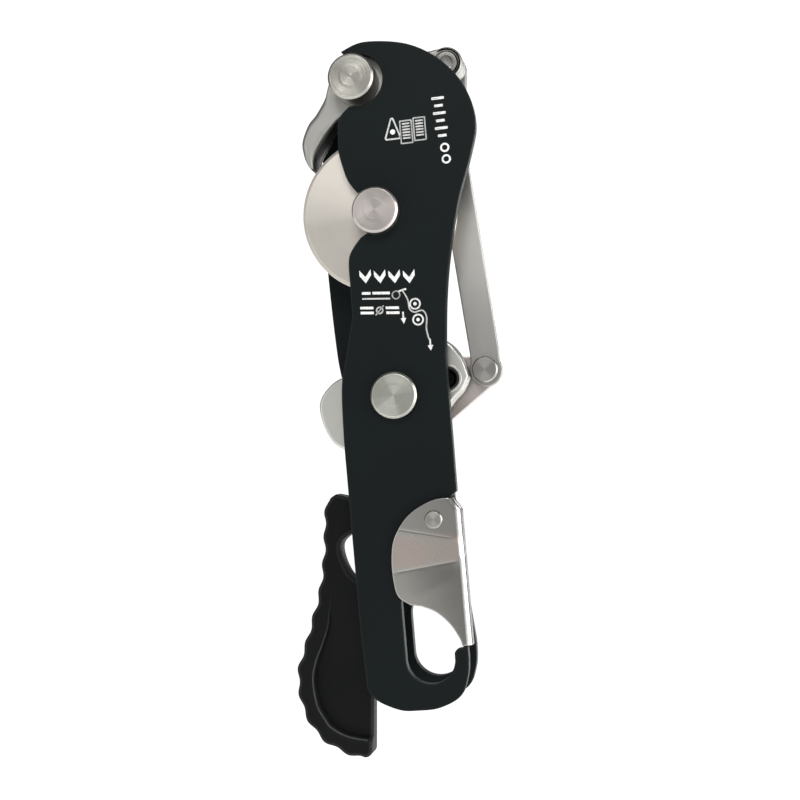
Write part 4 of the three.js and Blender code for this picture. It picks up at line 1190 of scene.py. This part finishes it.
# ------------------------------------------------------------------ gate
def gate():
    """Folded sheet. The flat blank is cut like any other plate, in (u, z) with u measured round the sheet
    from the front cheek to the rear cheek. Each point (u, depth, z) is then carried round two bends of radius
    r: in a bend it lies at (r - depth) from the bend's axis, at the angle (u - start) / r. Two creases step
    the upper front cheek forwards, and the fold is pressed in a little between them."""
    sheet, joggle = 1.0, 0.8
    front_y, rear_y = PLATE_FRONT - GAP - sheet, PLATE_REAR + GAP + sheet
    top = high("gate")[2]
    rear_bend = 1.6
    first = FOLD - BEND
    second = first + BEND * math.pi / 2
    third = second + rear_y - rear_bend - front_y - BEND
    fourth = third + rear_bend * math.pi / 2
    mirror = fourth + FOLD - rear_bend

    upper = curve(at(GATE, (5.2, 6.9), (-1, 6.2), (-8.6, 2), (-14, -5.2), (-15.7, -13), (-15.5, -21),
                     (-14.2, -25.4), (-10.4, -28.2)))
    lower = curve(at(GATE, (-6.6, -28.9), (-1.8, -31.2), (2.4, -35.4), (5.2, -40.2)),
                  at((0, GATE_TIP), (HOOK_RIGHT - 1.6, 0)))
    left = np.vstack([upper, lower])
    right = left[::-1] * (-1, 1) + (mirror, 0)
    blank = finer(loop(left, right), 0.5)
    pin_front = circle(GATE, 2.5, 40)
    pin_rear = pin_front[::-1] * (-1, 1) + (mirror, 0)
    turns = np.concatenate([np.linspace(first, second, 9), np.linspace(third, fourth, 7)])
    heights = np.arange(GATE_TIP + 0.7, top - 0.5, 0.8)
    lines = [np.stack([np.full(len(heights), u), heights], 1) for u in turns]
    creases = [(37.9, -0.23, -7.4), (23.2, 0.114, -10.1)]
    near = np.linspace(-0.6, 0.6, 7)
    run = np.linspace(-8.4, 12.2, 18)
    lines += [np.stack([run, z + slope * (run - x) + off], 1) for z, slope, x in creases for off in near]

    def stepped(x, z):
        """The creases step the front cheek forwards, with a fine pressed line along each of them; the lower
        cheek bulges a little."""
        above, below = (z0 + slope * (x - x0) for z0, slope, x0 in creases)
        t = (z - below) / (above - below)
        lines = np.exp(-(((z - above) / 0.3) ** 2)) + np.exp(-(((z - below) / 0.3) ** 2))
        bulge = 0.35 * np.cos(np.clip((x - 2) / 11, -1, 1) * math.pi / 2) * np.clip(-t / 0.7, 0, 1)
        fade = np.clip((first - 0.8 - x) / 1.5, 0, 1)
        return -joggle * np.clip(t, 0, 1) + fade * (0.07 * lines - bulge * np.clip((z - GATE_TIP) / 12, 0, 1))

    def folded(points):
        """The blank carried round its bends. The top of the fold leans in and its middle is pressed."""
        u, depth, z = points.T
        lean = 2.6 * np.clip((z - top + 4) / 4, 0, 1)
        lean *= np.clip((u - 6) / 5, 0, 1) * np.clip((mirror - 6 - u) / 5, 0, 1)
        pressed = 0.32 * np.clip((z - 26.0) / 1.2, 0, 1) * np.clip((33.6 - z) / 0.9, 0, 1)
        pressed = pressed * np.exp(-(((u - first - 1.6) / 1.3) ** 2))
        step = stepped(np.minimum(u, first), z) * np.clip((third - u) / (third - second), 0, 1)
        turn = np.clip((u - first) / BEND, 0, math.pi / 2)
        rear_turn = np.clip((u - third) / rear_bend, 0, math.pi / 2)
        x = np.minimum(u, first) + (BEND - depth - pressed) * np.sin(turn)
        y = front_y + BEND - (BEND - depth - pressed) * np.cos(turn) + step
        y += np.clip(u - second, 0, third - second)
        rear_x = FOLD - rear_bend + (rear_bend - depth) * np.cos(rear_turn) - np.maximum(u - fourth, 0)
        rear_y_at = rear_y - rear_bend + (rear_bend - depth) * np.sin(rear_turn)
        behind = rear_turn > 0
        return np.stack([np.where(behind, rear_x, x) - lean, np.where(behind, rear_y_at, y), z], 1)

    surface = Surface()
    plate(surface, blank, [pin_front, pin_rear], 0, sheet, 0.22, hole_edge=0.15, lines=lines, cell=0.9)
    surface.points = [folded(p) for p in surface.points]
    surface.make("gate_folded", "gate", rolled_sheet("stainless_sheet"), "gate", "sheet_steel", sharp=30)


gate()


def gate_spring():
    """A torsion spring behind the rear cheek: a helix (r cos a, p a, r sin a) of one and a half turns round
    the pin, then a leg down the gate."""
    wire, pin_radius, slack = 0.8, 2.2, 0.4
    coil = pin_radius + slack + wire / 2
    start = low("gate_spring")[1] + wire / 2
    turns, pitch = 1.5, wire * 1.06
    share = np.linspace(0, 1, 90)
    angle = share * turns * 2 * np.pi
    helix = np.stack([
        GATE[0] + coil * np.cos(angle), start + pitch * turns * (1 - share), GATE[1] + coil * np.sin(angle)
    ], 1)
    down = np.linspace(0, 1, 24)
    leg = np.stack([GATE[0] - coil + down, np.full(24, start), GATE[1] - 0.4 - 15.6 * down], 1)
    tube(Surface(), np.vstack([helix, leg]), wire / 2).make(
        "gate_spring_wound", "gate", spring_wire("spring_steel"), "gate_spring", "spring_steel"
    )


gate_spring()


# ------------------------------------------------------------------ printed marks
INK = white_print("white_print")


def print_mark(name, shapes):
    """Flat ink shapes on the front plate; each is (outline, holes)."""
    proud, sunk, edge = 0.05, 0.03, 0.01
    surface = Surface()
    for outer, holes in shapes:
        holes = [loop(h) for h in holes]
        plate(surface, loop(outer), holes, PLATE_FRONT - proud, PLATE_FRONT + sunk, edge, hole_edge=edge)
    surface.make(name, "front_plate", INK)


def box_shape(x, z, width, height, corner, steps=6):
    """A rounded box round a centre."""
    sides = ((-1, -1), (1, -1), (1, 1), (-1, 1))
    return rounded(*[(x + sx * width / 2, z + sz * height / 2, corner) for sx, sz in sides], steps=steps)


def stroke(points, width):
    """A line of a width through points, as a closed outline with square ends."""
    p = np.asarray(points, float)
    way = np.gradient(p, axis=0)
    way /= np.linalg.norm(way, axis=1)[:, None]
    side = np.stack([-way[:, 1], way[:, 0]], 1) * width / 2
    return np.vstack([p + side, (p - side)[::-1]])


def triangle_mark():
    """A triangle with a dot in it."""
    c = np.array([2.2, 174.9])
    big = rounded((c[0] - 3.1, c[1] - 3.9, 0.7), (c[0] + 3.1, c[1] - 3.9, 0.7), (c[0] + 0.2, c[1] + 5.2, 0.7))
    small = inset(loop(big), 0.5)
    dot = circle(c + (0.1, -1.2), 0.9, 28)
    print_mark("mark_triangle", [(big, [small]), (dot, [])])


def panels_mark():
    """Two framed panels with plain lines across them."""
    shapes = []
    for number in range(2):
        x, z = 7.0 + 4.7 * number, 173.2 + 0.5 * number
        border = box_shape(x, z, 4.4, 8.2, 0.4)
        shapes.append((border, [inset(loop(border), 0.42)]))
        shapes += [(box_shape(x, z + 2.85 - row, 2.7, 0.5, 0.1, 2), []) for row in range(6)]
    print_mark("mark_panels", shapes)


def ticks_mark():
    """A column of plain bars with two rings under it."""
    shapes = []
    for number, length in enumerate((4.4, 3.0, 4.4, 3.0, 4.4, 3.0)):
        shapes.append((box_shape(18.8 + 0.10 * number, 183.4 - 2.6 * number, length, 0.9, 0.2), []))
    for number in range(2):
        c = np.array([19.8 + 0.2 * number, 166.2 - 4.0 * number])
        shapes.append((circle(c, 1.6, 36), [circle(c, 0.95, 36)]))
    print_mark("mark_ticks", shapes)


def chevrons_mark():
    """Four chevrons that point down, for the way the load goes."""
    chevron = np.array([(-2.0, 2.3), (-2.0, 0.3), (0, -2.3), (2.0, 0.3), (2.0, 2.3), (0, -0.2)])
    places = [(-11.4 + 5.05 * number, 125.0 - 0.52 * number) for number in range(4)]
    print_mark("mark_chevrons", [(chevron + place, []) for place in places])


def rope_mark():
    """A crossed circle for the rope's diameter, between plain bars."""
    def bar(x, z, length, tall=0.9):
        """A bar from its lower left corner, which falls a little to the right."""
        drop = 0.09 * length
        return np.array([(x, z), (x + length, z - drop), (x + length, z - drop + tall), (x, z + tall)]), []

    ring_at = np.array([-1.3, 117.6])
    shapes = [bar(-13.1, 118.9, 3.0), bar(-9.4, 118.6, 6.0), bar(-13.1, 117.2, 9.7, 0.5)]
    shapes.append((circle(ring_at, 1.5, 36), [circle(ring_at, 1.1, 36)]))
    size_at = np.array([-7.4, 112.9])
    shapes.append((circle(size_at, 1.3, 36), [circle(size_at, 0.85, 36)]))
    shapes.append((stroke([size_at + (-1.5, -1.5), size_at + (1.5, 1.5)], 0.4), []))
    shapes += [bar(-14.1, 113.9, 4.6), bar(-14.1, 112.2, 4.6), bar(-5.2, 113.1, 4.6), bar(-5.2, 111.4, 4.6)]
    print_mark("mark_rope_size", shapes)


def diagram_mark():
    """How the rope runs: a line that passes round two circles, and two small arrows for its ends."""
    upper, lower = np.array([5.0, 113.9]), np.array([5.6, 108.4])
    shapes = [(circle(c, 2.0, 40), [circle(c, 1.45, 40)]) for c in (upper, lower)]
    shapes += [(circle(c, 0.6, 24), []) for c in (upper, lower)]
    rope = [(1.0, 119.0), (2.6, 115.6), (3.0, 112.4), (4.6, 111.1), (7.4, 111.4), (8.6, 109.0), (8.2, 105.0),
            (8.8, 101.4)]
    shapes.append((stroke(curve(np.array(rope), per=6), 0.45), []))
    shapes.append((stroke(curve(np.array([(-0.6, 118.6), (1.0, 119.1), (2.4, 119.3)]), per=4), 0.6), []))
    arrow = np.array([(-0.28, 2.2), (-0.28, 0), (-0.95, 0), (0, -1.9), (0.95, 0), (0.28, 0), (0.28, 2.2)])
    shapes += [(arrow + place, []) for place in ((0.6, 109.4), (9.1, 99.3))]
    print_mark("mark_diagram", shapes)


for draw in (triangle_mark, panels_mark, ticks_mark, chevrons_mark, rope_mark, diagram_mark):
    draw()


# ------------------------------------------------------------------ studio
def area_light(name, place, target, size, power):
    """A soft box that faces a target."""
    data = bpy.data.lights.new(name, "AREA")
    data.shape = "RECTANGLE"
    data.size, data.size_y = size
    data.energy = power
    light = bpy.data.objects.new(name, data)
    light.location = place
    light.rotation_mode = "QUATERNION"
    light.rotation_quaternion = (Vector(target) - Vector(place)).to_track_quat("-Z", "Y")
    scene.collection.objects.link(light)


def studio():
    """White all round for the eye. For reflections the room is bright in front and dim behind and above."""
    world = bpy.data.worlds.new("studio")
    scene.world = world
    world.use_nodes = True
    nodes, links = world.node_tree.nodes, world.node_tree.links
    nodes.clear()
    output = nodes.new("ShaderNodeOutputWorld")
    mix = nodes.new("ShaderNodeMixShader")
    white = nodes.new("ShaderNodeBackground")
    room = nodes.new("ShaderNodeBackground")
    path = nodes.new("ShaderNodeLightPath")
    direction = nodes.new("ShaderNodeTexCoord")
    split = nodes.new("ShaderNodeSeparateXYZ")
    front = nodes.new("ShaderNodeMapRange")
    white.inputs["Color"].default_value = (1, 1, 1, 1)
    white.inputs["Strength"].default_value = 1.1
    room.inputs["Color"].default_value = (0.97, 0.98, 1.0, 1)
    front.interpolation_type = "SMOOTHSTEP"
    for key, value in {"From Min": 0.35, "From Max": -0.95, "To Min": 0.21, "To Max": 0.33}.items():
        front.inputs[key].default_value = value
    links.new(direction.outputs["Generated"], split.inputs[0])
    links.new(split.outputs["Y"], front.inputs["Value"])
    links.new(front.outputs[0], room.inputs["Strength"])
    links.new(path.outputs["Is Camera Ray"], mix.inputs[0])
    links.new(room.outputs[0], mix.inputs[1])
    links.new(white.outputs[0], mix.inputs[2])
    links.new(mix.outputs[0], output.inputs["Surface"])

    reach, level = 30.0, -0.25
    corners = [(-reach, -reach, level), (reach, -reach, level), (reach, reach, level), (-reach, reach, level)]
    floor_mesh = bpy.data.meshes.new("floor")
    floor_mesh.from_pydata(corners, [], [(0, 1, 2, 3)])
    floor = bpy.data.objects.new("floor", floor_mesh)
    scene.collection.objects.link(floor)
    f = Finish("pale_floor", {"Metallic": 0.0, "Specular IOR Level": 0.2, "Emission Strength": 0.85})
    soft = f.speck(400, 2)
    f.shader.inputs["Emission Color"].default_value = (1, 1, 1, 1)
    floor_mesh.materials.append(f.done(f.mix(soft, (0.80, 0.80, 0.80), (0.84, 0.84, 0.84)), 0.8))

    middle = (0, 0, 0.08)
    area_light("key", (0.12, -0.75, 0.60), middle, (0.45, 0.35), 3.2)
    area_light("left", (-0.80, -0.75, 0.35), middle, (0.8, 0.8), 2.6)
    area_light("side", (0.95, -0.30, 0.15), middle, (0.75, 0.80), 8)
    area_light("rear", (-0.1, 0.95, 0.75), middle, (0.8, 0.6), 3)
    area_light("rear_strip", (0.45, 0.90, 0.0), middle, (0.16, 0.9), 3)
    scene.view_settings.view_transform = "Standard"


studio()
